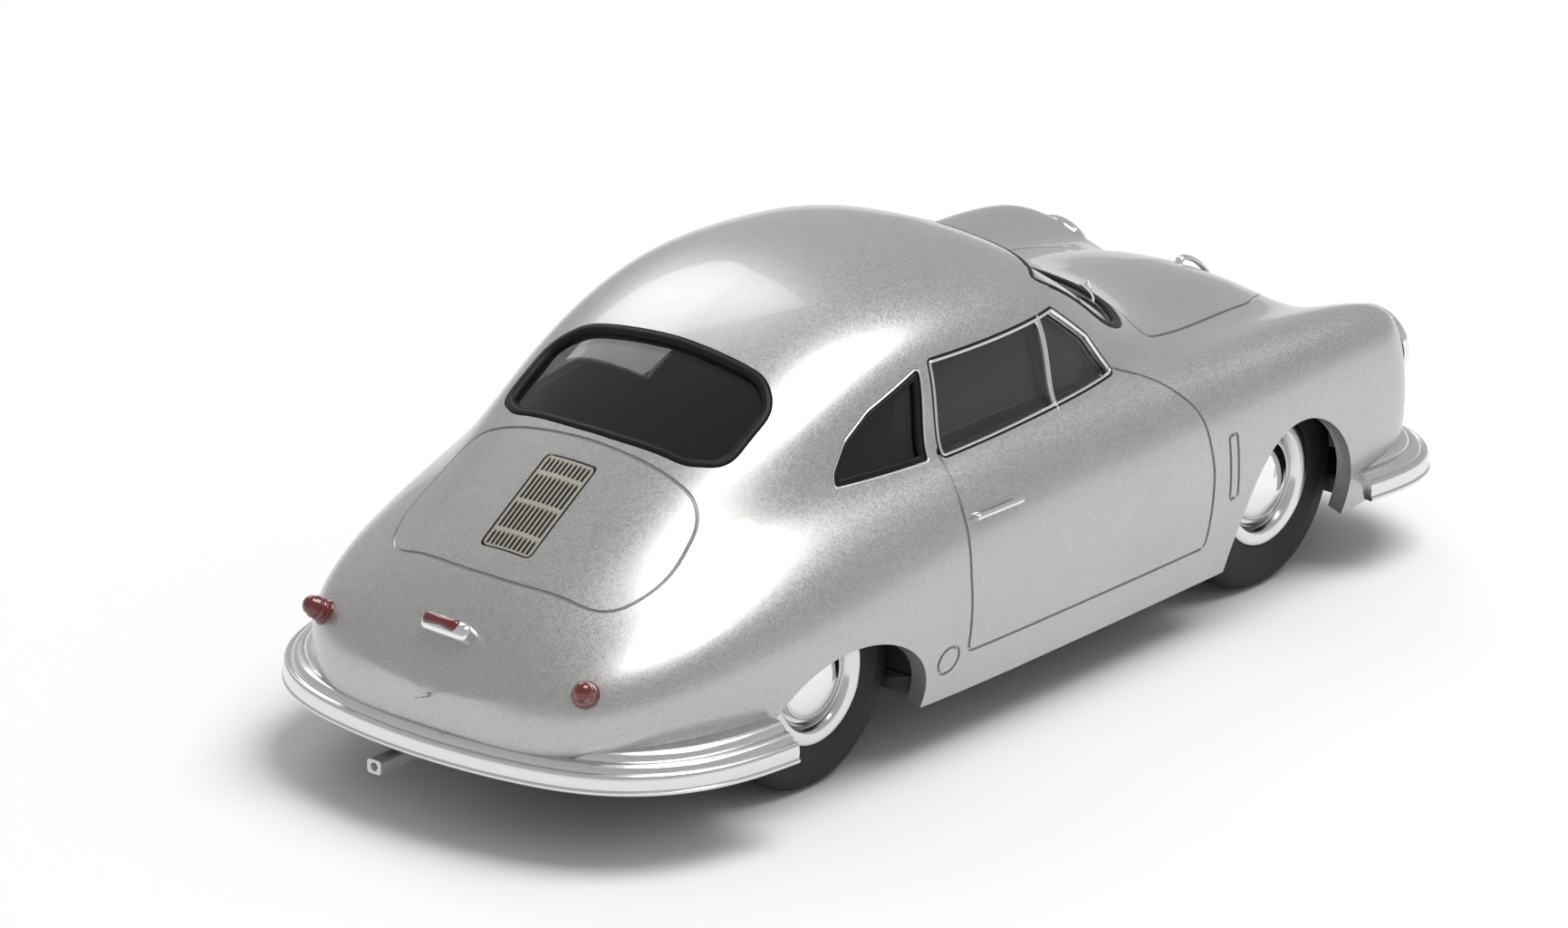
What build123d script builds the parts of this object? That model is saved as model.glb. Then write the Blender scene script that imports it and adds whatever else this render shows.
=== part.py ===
from build123d import *
import os
import numpy as np

# A 1:43 display model of a two-door rear-engined coupe.  +X is the front of the car,
# +Y its left side, +Z up.  The origin is on the ground in the middle of the length.

# ---------------------------------------------------------------- driving dimensions
body_length = 87.0            # resin shell, tail to nose
body_half_width = 19.4        # widest control line of the shell
roof_height = 30.5            # top control line of the shell above the ground
wall = 1.2                    # shell thickness
fit_gap = 0.15                # drop-in clearance between parts of the chassis and the shell
part_gap = 0.3                # air kept between parts that move and parts that don't

wheelbase = 48.84
front_axle_x = 27.1
tyre_radius = 7.9
tyre_width = 3.3
rim_radius = 4.7
rim_depth = 3.4
front_rim_face_y = 15.3
rear_rim_face_y = 15.0
hubcap_radius = 3.0
hubcap_rise = 0.85
hubcap_thickness = 0.45
dish_depth = 1.0              # rim face down to the wheel disc
wheel_disc = 0.8              # thickness of the wheel disc
axle_radius = 0.75
axle_clearance = 0.03

front_arch_offset = -1.1      # arch centre from the axle, along the car
front_arch_half_length = 6.9
front_arch_top = 13.6
rear_arch_offset = -0.1
rear_arch_half_length = 7.9
rear_arch_top = 10.9
arch_centre_z = 4.8

glass_thickness = 0.5
glass_depth = 0.45            # outer skin down to the glass
seal_width = 0.9
seal_proud = 0.12             # how far a seal stands out of the skin
frame_width = 0.35
frame_proud = 0.1
panel_gap = 0.22              # engraved shut line, width
panel_depth = 0.25            # engraved shut line, depth

plate_thickness = 1.4
plate_bottom_z = 4.4
wheel_house_wall = 1.2
wheel_house_air = 0.6         # wheel-house arc outside the tyre
boss_radius = 1.9
body_screw_radius = 0.8       # M1.6 countersunk from below
body_screw_head_radius = 1.45
body_screw_length = 5.0
body_screw_from_end = 6.0     # screw centre from each end of the shell
plinth_hole_radius = 0.8      # tapped M2, blind
plinth_hole_depth = 3.6
front_plinth_x = 20.0
rear_plinth_x = -31.5

tub_wall = 0.7
tub_height = 8.2
tub_side_air = 1.4            # tub side to the inside of the shell
tub_rear_x = -25.0
seat_width = 11.2
seat_length = 10.0
seat_cushion = 3.0
seat_back = 1.9
seat_back_height = 11.5
seat_lean = 12.0              # degrees
seat_spacing = 14.6
front_seat_x = 8.5            # front edge of the front cushions
bench_half_width = 8.0
bench_back_height = 8.0
tunnel_half_width = 1.4
tunnel_height = 1.2
dash_height = 3.6
dash_depth = 2.0
wheel_rim_radius = 4.4        # steering wheel
column_radius = 0.4
gear_lever_length = 5.0
steering_x = 9.6
steering_z = 16.2

grille_length = 6.8
grille_width = 4.1
grille_x = -32.8
grille_columns = 10
grille_rows = (1.0, 1.9, 1.9, 1.0)
grille_bar = 0.25
grille_slot = 0.22
grille_pitch = 0.38
backing_thickness = 0.15

bumper_bottom_z = 5.6
bumper_blade_top_z = 7.0
bumper_top_z = 8.1
bumper_blade = 0.9
bumper_depth = 3.3            # blade face back to the inside of the flange
bumper_lip = 0.12             # lower edge of the blade, stood forward
bumper_nose_gap = 2.3         # blade face in front of the shell's nose
bumper_tail_gap = 1.1         # blade face behind the shell's tail

tail_lamp_radius = 0.95
tail_lamp_length = 1.7
peg_radius = 0.45
peg_depth = 0.9
headlamp_radius = 2.3
headlamp_ring = 0.45
indicator_radius = 0.75
handle_length = 4.7
handle_radius = 0.2
bonnet_handle_sink = 0.35     # how deep its feet go into the shell
bonnet_handle_leg = 0.55      # thickness of its feet
wiper_rise = 0.3
wiper_length = 6.4
exhaust_width = 1.2
exhaust_height = 1.0
exhaust_bore = 0.3
exhaust_y = 3.7
exhaust_length = 12.0

rear_axle_x = front_axle_x - wheelbase
axle_z = tyre_radius
plate_top_z = plate_bottom_z + plate_thickness
wheel_house_radius = tyre_radius + wheel_house_air
wheel_house_y = min(front_rim_face_y, rear_rim_face_y) - rim_depth - 2 * part_gap

# ---------------------------------------------------------------- the shell's shape
# One row per station along the car: x, half breadth, sill height, side height, then the
# (half breadth, height) of the shoulder, crown, belt, flank and roof edge, and the top.
NOMINAL_LENGTH, NOMINAL_HALF_WIDTH, NOMINAL_HEIGHT = 87.0, 19.4, 30.5
STATIONS = [
    (-44.1, 6.7, 5.7, 9.2, (5.8, 9.9), (5.0, 10.3), (4.1, 10.4), (3.2, 10.5), (2.4, 10.5), 10.5),
    (-42.8, 11.4, 5.4, 10.6, (10.1, 11.6), (8.6, 12.0), (7.1, 12.1), (5.5, 12.3), (4.0, 12.5), 12.6),
    (-39.5, 14.5, 5.0, 11.4, (13.2, 12.9), (11.2, 13.8), (9.4, 14.3), (7.3, 14.8), (5.4, 15.3), 15.6),
    (-33.5, 16.8, 4.5, 12.4, (15.5, 14.4), (13.3, 15.8), (11.0, 16.9), (8.6, 18.1), (6.3, 18.9), 19.4),
    (-26.5, 18.1, 4.2, 12.9, (16.9, 15.4), (14.9, 17.4), (12.8, 19.1), (10.8, 21.2), (8.4, 22.8), 23.8),
    (-18.5, 18.8, 4.1, 13.4, (17.8, 16.4), (16.1, 18.6), (14.3, 20.5), (12.9, 24.1), (10.5, 26.7), 28.0),
    (-9.5, 19.4, 4.1, 14.0, (18.6, 17.2), (16.8, 19.5), (15.0, 20.9), (14.2, 25.0), (11.9, 29.2), 30.6),
    (-0.5, 19.4, 4.1, 14.0, (18.6, 17.5), (16.8, 19.7), (15.2, 20.9), (14.6, 24.6), (12.5, 28.6), 30.5),
    (8.5, 19.4, 4.1, 14.0, (18.6, 17.6), (16.8, 19.6), (15.0, 20.6), (14.0, 23.8), (11.8, 27.5), 29.5),
    (16.5, 19.3, 4.1, 14.0, (18.5, 17.8), (16.3, 19.6), (13.8, 19.9), (11.6, 20.8), (9.0, 22.2), 23.2),
    (23.5, 19.2, 4.1, 14.2, (18.4, 18.1), (15.6, 19.6), (12.4, 18.9), (9.4, 19.2), (6.2, 20.0), 20.6),
    (30.5, 19.1, 4.2, 14.2, (18.4, 18.2), (15.6, 19.5), (11.9, 18.2), (8.8, 18.4), (5.8, 19.1), 19.7),
    (36.5, 19.0, 4.4, 14.2, (18.3, 18.0), (15.5, 19.0), (11.4, 17.2), (8.2, 17.1), (5.4, 17.7), 18.2),
    (41.1, 18.2, 4.9, 13.5, (17.2, 17.0), (14.9, 17.6), (10.8, 15.2), (7.5, 14.7), (5.0, 15.0), 15.3),
    (42.9, 11.3, 5.1, 10.6, (10.5, 12.8), (9.1, 13.2), (6.6, 12.3), (4.5, 11.9), (3.0, 11.9), 11.9),
]
LOW_SIDE_Z = 7.0              # the lower side bulges out between the sill and this height


def control_net():
    """Control points of the left half: x of each station, and its (y, z) columns."""
    rows = []
    for x, half, sill, side, shoulder, crown, belt, flank, edge, top in STATIONS:
        low = LOW_SIDE_Z + 0.45 * (side - LOW_SIDE_Z)
        rows.append([
            (half - 1.6, sill), (half - 0.6, LOW_SIDE_Z), (half, low), (half - 0.1, side),
            shoulder, crown, belt, flank, edge, (0.52 * edge[0], top - 0.1), (0.0, top),
        ])
    rows = np.array([closing_row(rows[0])] + rows + [closing_row(rows[-1])])
    xs = np.array([row[0] for row in STATIONS])
    xs = np.concatenate([xs[:1], xs, xs[-1:]]) * body_length / NOMINAL_LENGTH
    rows[:, :, 0] *= body_half_width / NOMINAL_HALF_WIDTH
    rows[:, :, 1] *= roof_height / NOMINAL_HEIGHT
    return xs, rows


def closing_row(row):
    """The last row of an end: its heights drawn together on the centreline."""
    middle = 8.3
    return [(0.0, middle + 0.7 * (z - middle)) for _, z in row]


def basis(count, places, degree=3):
    """Clamped uniform B-spline basis by the Cox-de Boor formula, one row per place."""
    knots = np.concatenate([np.zeros(degree), np.linspace(0, 1, count - degree + 1), np.ones(degree)])
    places = np.clip(np.asarray(places, float), 0, 1 - 1e-12)[:, None]
    table = ((places >= knots[:-1]) & (places < knots[1:])).astype(float)
    for p in range(1, degree + 1):
        rise = knots[p:-1] - knots[:-p - 1]
        fall = knots[p + 1:] - knots[1:-p]
        left = np.where(rise > 0, (places - knots[:-p - 1]) / np.where(rise > 0, rise, 1), 0)
        right = np.where(fall > 0, (knots[p + 1:] - places) / np.where(fall > 0, fall, 1), 0)
        table = left * table[:, :-1] + right * table[:, 1:]
    return table


NET_X, NET_YZ = control_net()


def skin(lengthwise, around):
    """Points of the shell's left half: sill at around = 0, centreline at around = 1."""
    along = basis(len(NET_X), lengthwise)
    across = basis(NET_YZ.shape[1], around)
    yz = np.einsum("ik,kjc,lj->ilc", along, NET_YZ, across)
    x = np.broadcast_to((along @ NET_X)[:, None, None], yz.shape[:2] + (1,))
    return np.concatenate([x, yz], axis=2)


FINE = skin(np.linspace(0, 1, 1201), np.linspace(0, 1, 401))
FINE_OUTWARD = np.cross(np.gradient(FINE, axis=1), np.gradient(FINE, axis=0))
TAIL_X, NOSE_X = NET_X[0], NET_X[-1]
LONG = body_length / NOMINAL_LENGTH
BROAD = body_half_width / NOMINAL_HALF_WIDTH
HIGH = roof_height / NOMINAL_HEIGHT


def on_skin(side=1, keep=None, **known):
    """Plane on the skin where two coordinates are known, its Z axis pointing outwards."""
    miss = sum((FINE[:, :, "xyz".index(name)] - value) ** 2 for name, value in known.items())
    if keep is not None:
        miss = np.where(keep, miss, np.inf)
    place = np.unravel_index(np.argmin(miss), miss.shape)
    x, y, z = FINE[place].tolist()
    out = FINE_OUTWARD[place] / np.linalg.norm(FINE_OUTWARD[place])
    normal = Vector(float(out[0]), side * float(out[1]), float(out[2]))
    upright = Vector(0, 0, 1) - normal * normal.Z
    return Plane(origin=(x, side * y, z), x_dir=upright.cross(normal), z_dir=normal)


def skin_y(x, z):
    """Half breadth of the skin at a place along the car and a height."""
    return on_skin(x=x, z=z).origin.Y


def skin_z(x, y=0.0):
    """Height of the upper skin above a point of the plan."""
    return on_skin(keep=FINE[:, :, 2] > 9.0 * HIGH, x=x, y=y).origin.Z


SECTIONS = [0.02, 0.05, 0.08, *np.linspace(0.12, 0.88, 12), 0.92, 0.95, 0.98]
CABIN = SECTIONS[3:-3]
POINTS_ACROSS = 13


def section(place, inset):
    """Station x and the outline from the right sill over the roof to the left sill."""
    half = skin([place], np.linspace(0, 1, POINTS_ACROSS))[0]
    yz = np.vstack([half[:-1, 1:] * [-1, 1], half[::-1, 1:]])
    run = np.gradient(yz, axis=0)
    run /= np.linalg.norm(run, axis=1)[:, None]
    yz = yz + inset * np.column_stack([run[:, 1], -run[:, 0]])
    return float(half[0, 0]), [tuple(point) for point in yz.tolist()]


def shell_solid(inset, places=SECTIONS, drop=0.0):
    """The shell's outer shape, moved inwards by inset, closed flat across the sills."""
    with BuildPart() as solid:
        for place in places:
            x, outline = section(place, inset)
            with BuildSketch(Plane.YZ.offset(x)):
                with BuildLine():
                    steps = np.linspace(0, 1, len(outline)).tolist()
                    add(Edge.make_spline([Vector(y, z, 0) for y, z in outline], parameters=steps))
                    right, left = outline[0], outline[-1]
                    skirt = [(left[0], left[1] - drop), (right[0], right[1] - drop)] if drop else []
                    Polyline(left, *skirt, right)
                make_face()
        loft()
    return solid.part


def rounded_face(points, radius):
    """Closed outline of straight runs with every corner rounded."""
    with BuildSketch() as sketch:
        with BuildLine():
            Polyline(*points, close=True)
        make_face()
        fillet(sketch.vertices(), radius)
    return sketch.sketch


def side_block(face, side, deep=30.0, start=8.0):
    """A side-view outline (x, z) pushed out sideways through the shell."""
    with BuildPart() as block:
        with BuildSketch(Plane.XZ.offset(-side * start)):
            add(face)
        extrude(amount=-side * deep)
    return block.part


def top_block(face, low=14.0):
    """A plan outline (x, y) pushed up through the shell."""
    with BuildPart() as block:
        with BuildSketch(Plane.XY.offset(low)):
            add(face)
        extrude(amount=40.0 * HIGH)
    return block.part


def front_block(face, start):
    """A front-view outline (y, z) pushed forwards through the shell."""
    with BuildPart() as block:
        with BuildSketch(Plane.YZ.offset(start)):
            add(face)
        extrude(amount=20.0 * LONG)
    return block.part


def ring(face, width):
    """The band of a face within width of its edge."""
    with BuildSketch() as band:
        add(face)
        offset(face, amount=-width, mode=Mode.SUBTRACT)
    return band.sketch


def save(part, name):
    """Label a finished piece and write its STEP file."""
    part.label = name
    export_step(part, f"parts/{name}.step")
    pieces[name] = part


pieces = {}
SIDES = {"left": 1, "right": -1}
os.makedirs("parts", exist_ok=True)

# ---------------------------------------------------------------- shapes nested in the skin
outer = shell_solid(0.0)
hollow = shell_solid(wall, SECTIONS[1:-1], drop=3.0)
glass_bed = shell_solid(glass_depth + glass_thickness, CABIN)
glass_top = shell_solid(glass_depth, CABIN)
engraving_floor = shell_solid(panel_depth, SECTIONS[1:-1])
proud = shell_solid(-seal_proud, CABIN)

with BuildPart() as pane_layer:
    add(glass_top)
    add(glass_bed, mode=Mode.SUBTRACT)

with BuildPart() as seal_layer:
    add(proud)
    add(glass_top, mode=Mode.SUBTRACT)


def within(layer, block):
    """The piece of a layer that lies inside a block."""
    with BuildPart() as piece:
        add(layer)
        add(block, mode=Mode.INTERSECT)
    return piece.part


# ---------------------------------------------------------------- openings
def scaled(points, across):
    return [(x * LONG, value * across) for x, value in points]


door_opening = rounded_face(
    scaled([(-9.8, 20.2), (-8.4, 26.4), (5.8, 26.1), (8.8, 23.5), (10.3, 20.6)], HIGH), 0.5)
quarter_opening = rounded_face(
    scaled([(-10.7, 20.3), (-9.0, 26.3), (-14.7, 24.5), (-17.2, 23.1), (-18.9, 21.4), (-19.3, 20.4)], HIGH),
    0.4)
rear_opening = rounded_face(
    scaled([(-26.8, 7.5), (-25.2, 9.9), (-20.2, 9.9), (-18.7, 7.9), (-18.7, -7.9), (-20.2, -9.9),
            (-25.2, -9.9), (-26.8, -7.5)], BROAD), 1.6)
screen_start = 7.5 * LONG
screen_opening = rounded_face(
    [(-12.9 * BROAD, 21.5 * HIGH), (0, 22.5 * HIGH), (12.9 * BROAD, 21.5 * HIGH),
     (10.8 * BROAD, 27.6 * HIGH), (0, 28.3 * HIGH), (-10.8 * BROAD, 27.6 * HIGH)], 1.2)

divider_low_x = 2.55
divider_high_x = 4.05
divider_half = 0.25
ahead_of_divider = rounded_face(
    scaled([(divider_low_x - 0.4, 18.0), (divider_high_x + 0.4, 29.0), (14.0, 29.0),
            (14.0, 18.0)], HIGH), 0.01)
divider = rounded_face(
    scaled([(divider_low_x - divider_half, 19.5), (divider_low_x + divider_half, 19.5),
            (divider_high_x + divider_half, 27.0), (divider_high_x - divider_half, 27.0)], HIGH), 0.01)

BLOCKS = {"windscreen": front_block(screen_opening, screen_start), "rear_window": top_block(rear_opening)}
for name, side in SIDES.items():
    BLOCKS[f"door_window_{name}"] = side_block(door_opening, side)
    BLOCKS[f"quarter_window_{name}"] = side_block(quarter_opening, side)


def cut_face(face, other, mode):
    with BuildSketch() as sketch:
        add(face)
        add(other, mode=mode)
    return sketch.sketch


save(within(pane_layer.part, BLOCKS["windscreen"]), "windscreen_glass")
save(within(pane_layer.part, BLOCKS["rear_window"]), "rear_window_glass")
screen_ring = front_block(ring(screen_opening, seal_width), screen_start)
save(within(seal_layer.part, screen_ring), "windscreen_seal")
save(within(seal_layer.part, top_block(ring(rear_opening, seal_width))), "rear_window_seal")
door_pane = cut_face(door_opening, ahead_of_divider, Mode.SUBTRACT)
vent_pane = cut_face(door_opening, ahead_of_divider, Mode.INTERSECT)
divider_bar = cut_face(divider, door_opening, Mode.INTERSECT)
door_frame = cut_face(ring(door_opening, frame_width), divider_bar, Mode.ADD)
for name, side in SIDES.items():
    save(within(pane_layer.part, side_block(door_pane, side)), f"door_glass_{name}")
    save(within(pane_layer.part, side_block(vent_pane, side)), f"vent_glass_{name}")
    save(within(pane_layer.part, BLOCKS[f"quarter_window_{name}"]), f"quarter_glass_{name}")
    save(within(seal_layer.part, side_block(door_frame, side)), f"door_window_frame_{name}")
    quarter_ring = side_block(ring(quarter_opening, frame_width), side)
    save(within(seal_layer.part, quarter_ring), f"quarter_window_frame_{name}")


# ---------------------------------------------------------------- wheels and axles
def axle_plane(axle_x, side):
    """Half-section plane of a wheel: X runs outwards along the axle, Y up from it."""
    return Plane(origin=(axle_x, 0, axle_z), x_dir=(0, side, 0), z_dir=(side, 0, 0))


def wheel(end, name, axle_x, face_y):
    """Tyre, rim and hubcap of one wheel, turned about the axle."""
    side = SIDES[name]
    plane = axle_plane(axle_x, side)
    axle_line = Axis((axle_x, 0, axle_z), (0, 1, 0))
    back_y = face_y - rim_depth
    disc_y = face_y - dish_depth

    with BuildPart() as rim:
        with BuildSketch(plane):
            with BuildLine():
                Polyline(
                    (disc_y, axle_radius), (disc_y, hubcap_radius + 0.25),
                    (face_y - 0.35, rim_radius - 0.75), (face_y, rim_radius - 0.3), (face_y, rim_radius),
                    (back_y, rim_radius), (back_y, rim_radius - 0.6),
                    (disc_y - wheel_disc, rim_radius - 0.9), (disc_y - wheel_disc, axle_radius + 0.8),
                    (back_y + 0.4, axle_radius + 0.8), (back_y + 0.4, axle_radius), close=True)
            make_face()
        revolve(axis=axle_line)
    save(rim.part, f"rim_{end}_{name}")

    with BuildPart() as tyre:
        with BuildSketch(plane):
            with BuildLine():
                inner = back_y + 0.1
                shoulder = 0.65
                outer_y = inner + tyre_width
                flank = (rim_radius + tyre_radius) / 2
                Line((inner, rim_radius), (outer_y, rim_radius))
                ThreePointArc((outer_y, rim_radius), (outer_y + 0.12, flank),
                              (outer_y - 0.1, tyre_radius - shoulder))
                ThreePointArc((outer_y - 0.1, tyre_radius - shoulder), (outer_y - 0.3, tyre_radius - 0.2),
                              (outer_y - shoulder, tyre_radius))
                Line((outer_y - shoulder, tyre_radius), (inner + shoulder, tyre_radius))
                ThreePointArc((inner + shoulder, tyre_radius), (inner + 0.3, tyre_radius - 0.2),
                              (inner + 0.1, tyre_radius - shoulder))
                ThreePointArc((inner + 0.1, tyre_radius - shoulder), (inner - 0.12, flank),
                              (inner, rim_radius))
            make_face()
        revolve(axis=axle_line)
    save(tyre.part, f"tyre_{end}_{name}")

    with BuildPart() as hubcap:
        with BuildSketch(plane):
            with BuildLine():
                edge_y = disc_y + hubcap_thickness
                curve = (hubcap_radius**2 + hubcap_rise**2) / (2 * hubcap_rise)
                half_way = hubcap_rise - curve + (curve**2 - hubcap_radius**2 / 4) ** 0.5
                Line((disc_y, 0), (disc_y, hubcap_radius))
                Line((disc_y, hubcap_radius), (edge_y, hubcap_radius))
                ThreePointArc((edge_y, hubcap_radius), (edge_y + half_way, hubcap_radius / 2),
                              (edge_y + hubcap_rise, 0))
                Line((edge_y + hubcap_rise, 0), (disc_y, 0))
            make_face()
        revolve(axis=axle_line)
    save(hubcap.part, f"hubcap_{end}_{name}")


def axle(end, axle_x, face_y):
    with BuildPart() as rod:
        with BuildSketch(Plane(origin=(axle_x, -(face_y - dish_depth), axle_z), z_dir=(0, 1, 0))):
            Circle(axle_radius)
        extrude(amount=2 * (face_y - dish_depth))
    save(rod.part, f"axle_{end}")


AXLES = {"front": (front_axle_x, front_rim_face_y), "rear": (rear_axle_x, rear_rim_face_y)}
for end, (axle_x, face_y) in AXLES.items():
    axle(end, axle_x, face_y)
    for name in SIDES:
        wheel(end, name, axle_x, face_y)

# ---------------------------------------------------------------- base plate
front_body_screw_x = NOSE_X - body_screw_from_end
rear_body_screw_x = TAIL_X + body_screw_from_end


def inside_half_width(x, z):
    """Half width that drops into the shell at a place and a height."""
    return skin_y(x, z) - 1.08 * wall - fit_gap


with BuildPart() as base_plate:
    plate_xs = np.linspace(TAIL_X + 3.2, NOSE_X - 3.0, 11).tolist()
    left_edge = [(x, inside_half_width(x, plate_bottom_z)) for x in plate_xs]
    with BuildSketch(Plane.XY.offset(plate_bottom_z)):
        with BuildLine():
            Spline(*left_edge)
            Spline(*[(x, -y) for x, y in left_edge])
            Line(left_edge[0], (left_edge[0][0], -left_edge[0][1]))
            Line(left_edge[-1], (left_edge[-1][0], -left_edge[-1][1]))
        make_face()
        for axle_x, _ in AXLES.values():
            for side in SIDES.values():
                with Locations((axle_x, side * (wheel_house_y + 10))):
                    Rectangle(2 * wheel_house_radius, 20, mode=Mode.SUBTRACT)
    extrude(amount=plate_thickness)
    for axle_x, _ in AXLES.values():
        for side in SIDES.values():
            inner_y = side * (wheel_house_y - wheel_house_wall)
            arch_plane = Plane(origin=(axle_x, inner_y, axle_z), x_dir=(1, 0, 0), z_dir=(0, side, 0))
            with BuildSketch(arch_plane):
                Circle(wheel_house_radius)
                Circle(axle_radius + axle_clearance, mode=Mode.SUBTRACT)
            extrude(amount=wheel_house_wall)
    with BuildSketch(Plane.XY.offset(plate_bottom_z)):
        Rectangle(3 * body_length, 4 * body_half_width)
    extrude(amount=-2 * tyre_radius, mode=Mode.SUBTRACT)
    with BuildSketch(Plane.XY.offset(plate_top_z)):
        with Locations((front_plinth_x, 0), (rear_plinth_x, 0)):
            Circle(boss_radius)
    extrude(amount=plinth_hole_depth + 0.6 - plate_thickness)
    with BuildSketch(Plane.XY.offset(plate_bottom_z)):
        with Locations((front_plinth_x, 0), (rear_plinth_x, 0)):
            Circle(plinth_hole_radius)
    extrude(amount=plinth_hole_depth, mode=Mode.SUBTRACT)

with BuildPart() as body_screws:
    head_height = body_screw_head_radius - body_screw_radius
    for x in (front_body_screw_x, rear_body_screw_x):
        with BuildSketch(Plane(origin=(x, 0, plate_bottom_z), x_dir=(1, 0, 0), z_dir=(0, -1, 0))):
            with BuildLine():
                Polyline((0, 0.05), (body_screw_head_radius, 0.05), (body_screw_radius, 0.05 + head_height),
                         (body_screw_radius, body_screw_length), (0, body_screw_length), close=True)
            make_face()
        revolve(axis=Axis((x, 0, 0), (0, 0, 1)))
        with BuildSketch(Plane.XY.offset(plate_bottom_z + 0.05)):
            with Locations((x, 0)):
                Rectangle(0.35, 2.2 * body_screw_radius)
        extrude(amount=0.3, mode=Mode.SUBTRACT)
save(body_screws.part, "body_screws")
with BuildPart() as drilled_plate:
    add(base_plate.part)
    with Locations((front_body_screw_x, 0, plate_bottom_z), (rear_body_screw_x, 0, plate_bottom_z)):
        Cylinder(body_screw_radius, plate_thickness, align=(Align.CENTER, Align.CENTER, Align.MIN),
                 mode=Mode.SUBTRACT)
        Cone(body_screw_head_radius + 0.05, body_screw_radius, head_height + 0.05,
             align=(Align.CENTER, Align.CENTER, Align.MIN), mode=Mode.SUBTRACT)
save(drilled_plate.part, "base_plate")


# ---------------------------------------------------------------- trim standing on the skin
AT_TAIL = FINE[:, :, 0] < -30 * LONG
AT_NOSE = FINE[:, :, 0] > 30 * LONG
AT_SCREEN = (FINE[:, :, 0] > 8 * LONG) & (FINE[:, :, 0] < 22 * LONG)


def turned(plane, *outline):
    """Closed outline of (radius, height) points turned about the plane's normal."""
    half_section = Plane(origin=plane.origin, x_dir=plane.x_dir, z_dir=-plane.y_dir)
    with BuildPart() as solid:
        with BuildSketch(half_section):
            with BuildLine():
                Polyline(*outline, close=True)
            make_face()
        revolve(axis=Axis(plane.origin, plane.z_dir))
    return solid.part


def lens(plane, radius, length, peg):
    """Bullet lens on a small base ring, with a peg that plugs into the shell."""
    return turned(
        plane, (0, -peg_depth), (peg, -peg_depth), (peg, -0.1), (radius, -0.1), (radius, 0.2),
        (0.86 * radius, 0.26), (0.86 * radius, 0.3 * length), (0.7 * radius, 0.62 * length),
        (0.4 * radius, 0.9 * length), (0, length))


seated = []                   # pieces let into the shell
for name, side in SIDES.items():
    tail_plane = on_skin(side, AT_TAIL, y=11.4 * BROAD, z=11.8 * HIGH)
    save(lens(tail_plane, tail_lamp_radius, tail_lamp_length, peg_radius), f"tail_lamp_{name}")
    indicator_plane = on_skin(side, AT_NOSE, y=14.8 * BROAD, z=9.6 * HIGH)
    save(lens(indicator_plane, indicator_radius, 0.8, peg_radius), f"indicator_{name}")
    seated += [f"tail_lamp_{name}", f"indicator_{name}"]

    handle_plane = on_skin(side, x=-7.4 * LONG, z=16.7 * HIGH)
    with BuildPart() as door_handle:
        with BuildSketch(handle_plane.offset(0.3)):
            SlotOverall(handle_length, 2 * handle_radius)
        extrude(amount=1.6 * handle_radius)
        with BuildSketch(handle_plane.offset(-0.6)):
            with Locations((0.4 * handle_length, 0), (-0.4 * handle_length, 0)):
                Circle(0.75 * handle_radius)
        extrude(amount=1.0)
    save(door_handle.part, f"door_handle_{name}")
    seated.append(f"door_handle_{name}")

brake_plane = on_skin(1, AT_TAIL, y=0.0, z=13.5 * HIGH)
with BuildPart() as brake_lens:
    with BuildSketch(brake_plane.offset(0.75)):
        with Locations((0.35, 0.05)):
            SlotOverall(3.1, 0.95)
    extrude(amount=0.5)
with BuildPart() as brake_housing:
    with BuildSketch(brake_plane.offset(-0.35)):
        SlotOverall(4.2, 1.3)
    extrude(amount=1.4)
    add(brake_lens.part, mode=Mode.SUBTRACT)
save(brake_lens.part, "brake_lamp_lens")
save(brake_housing.part, "brake_lamp_housing")
seated.append("brake_lamp_housing")

handle_rear_x = 36.3 * LONG
handle_front_x = 40.3 * LONG
handle_mid_x = (handle_rear_x + handle_front_x) / 2
with BuildPart() as bonnet_handle:
    with BuildSketch(Plane.XZ):
        with BuildLine():
            rear_foot = (handle_rear_x, skin_z(handle_rear_x) - bonnet_handle_sink)
            front_foot = (handle_front_x, skin_z(handle_front_x) - bonnet_handle_sink)
            crest = skin_z(handle_mid_x)
            rear_inner = (rear_foot[0] + bonnet_handle_leg, rear_foot[1] - 0.1)
            front_inner = (front_foot[0] - bonnet_handle_leg, front_foot[1] + 0.1)
            ThreePointArc(rear_foot, (handle_mid_x, crest + 1.05), front_foot)
            Line(front_foot, front_inner)
            ThreePointArc(front_inner, (handle_mid_x, crest + 0.6), rear_inner)
            Line(rear_inner, rear_foot)
        make_face()
    extrude(amount=0.35, both=True)
save(bonnet_handle.part, "bonnet_handle")
seated.append("bonnet_handle")

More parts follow.
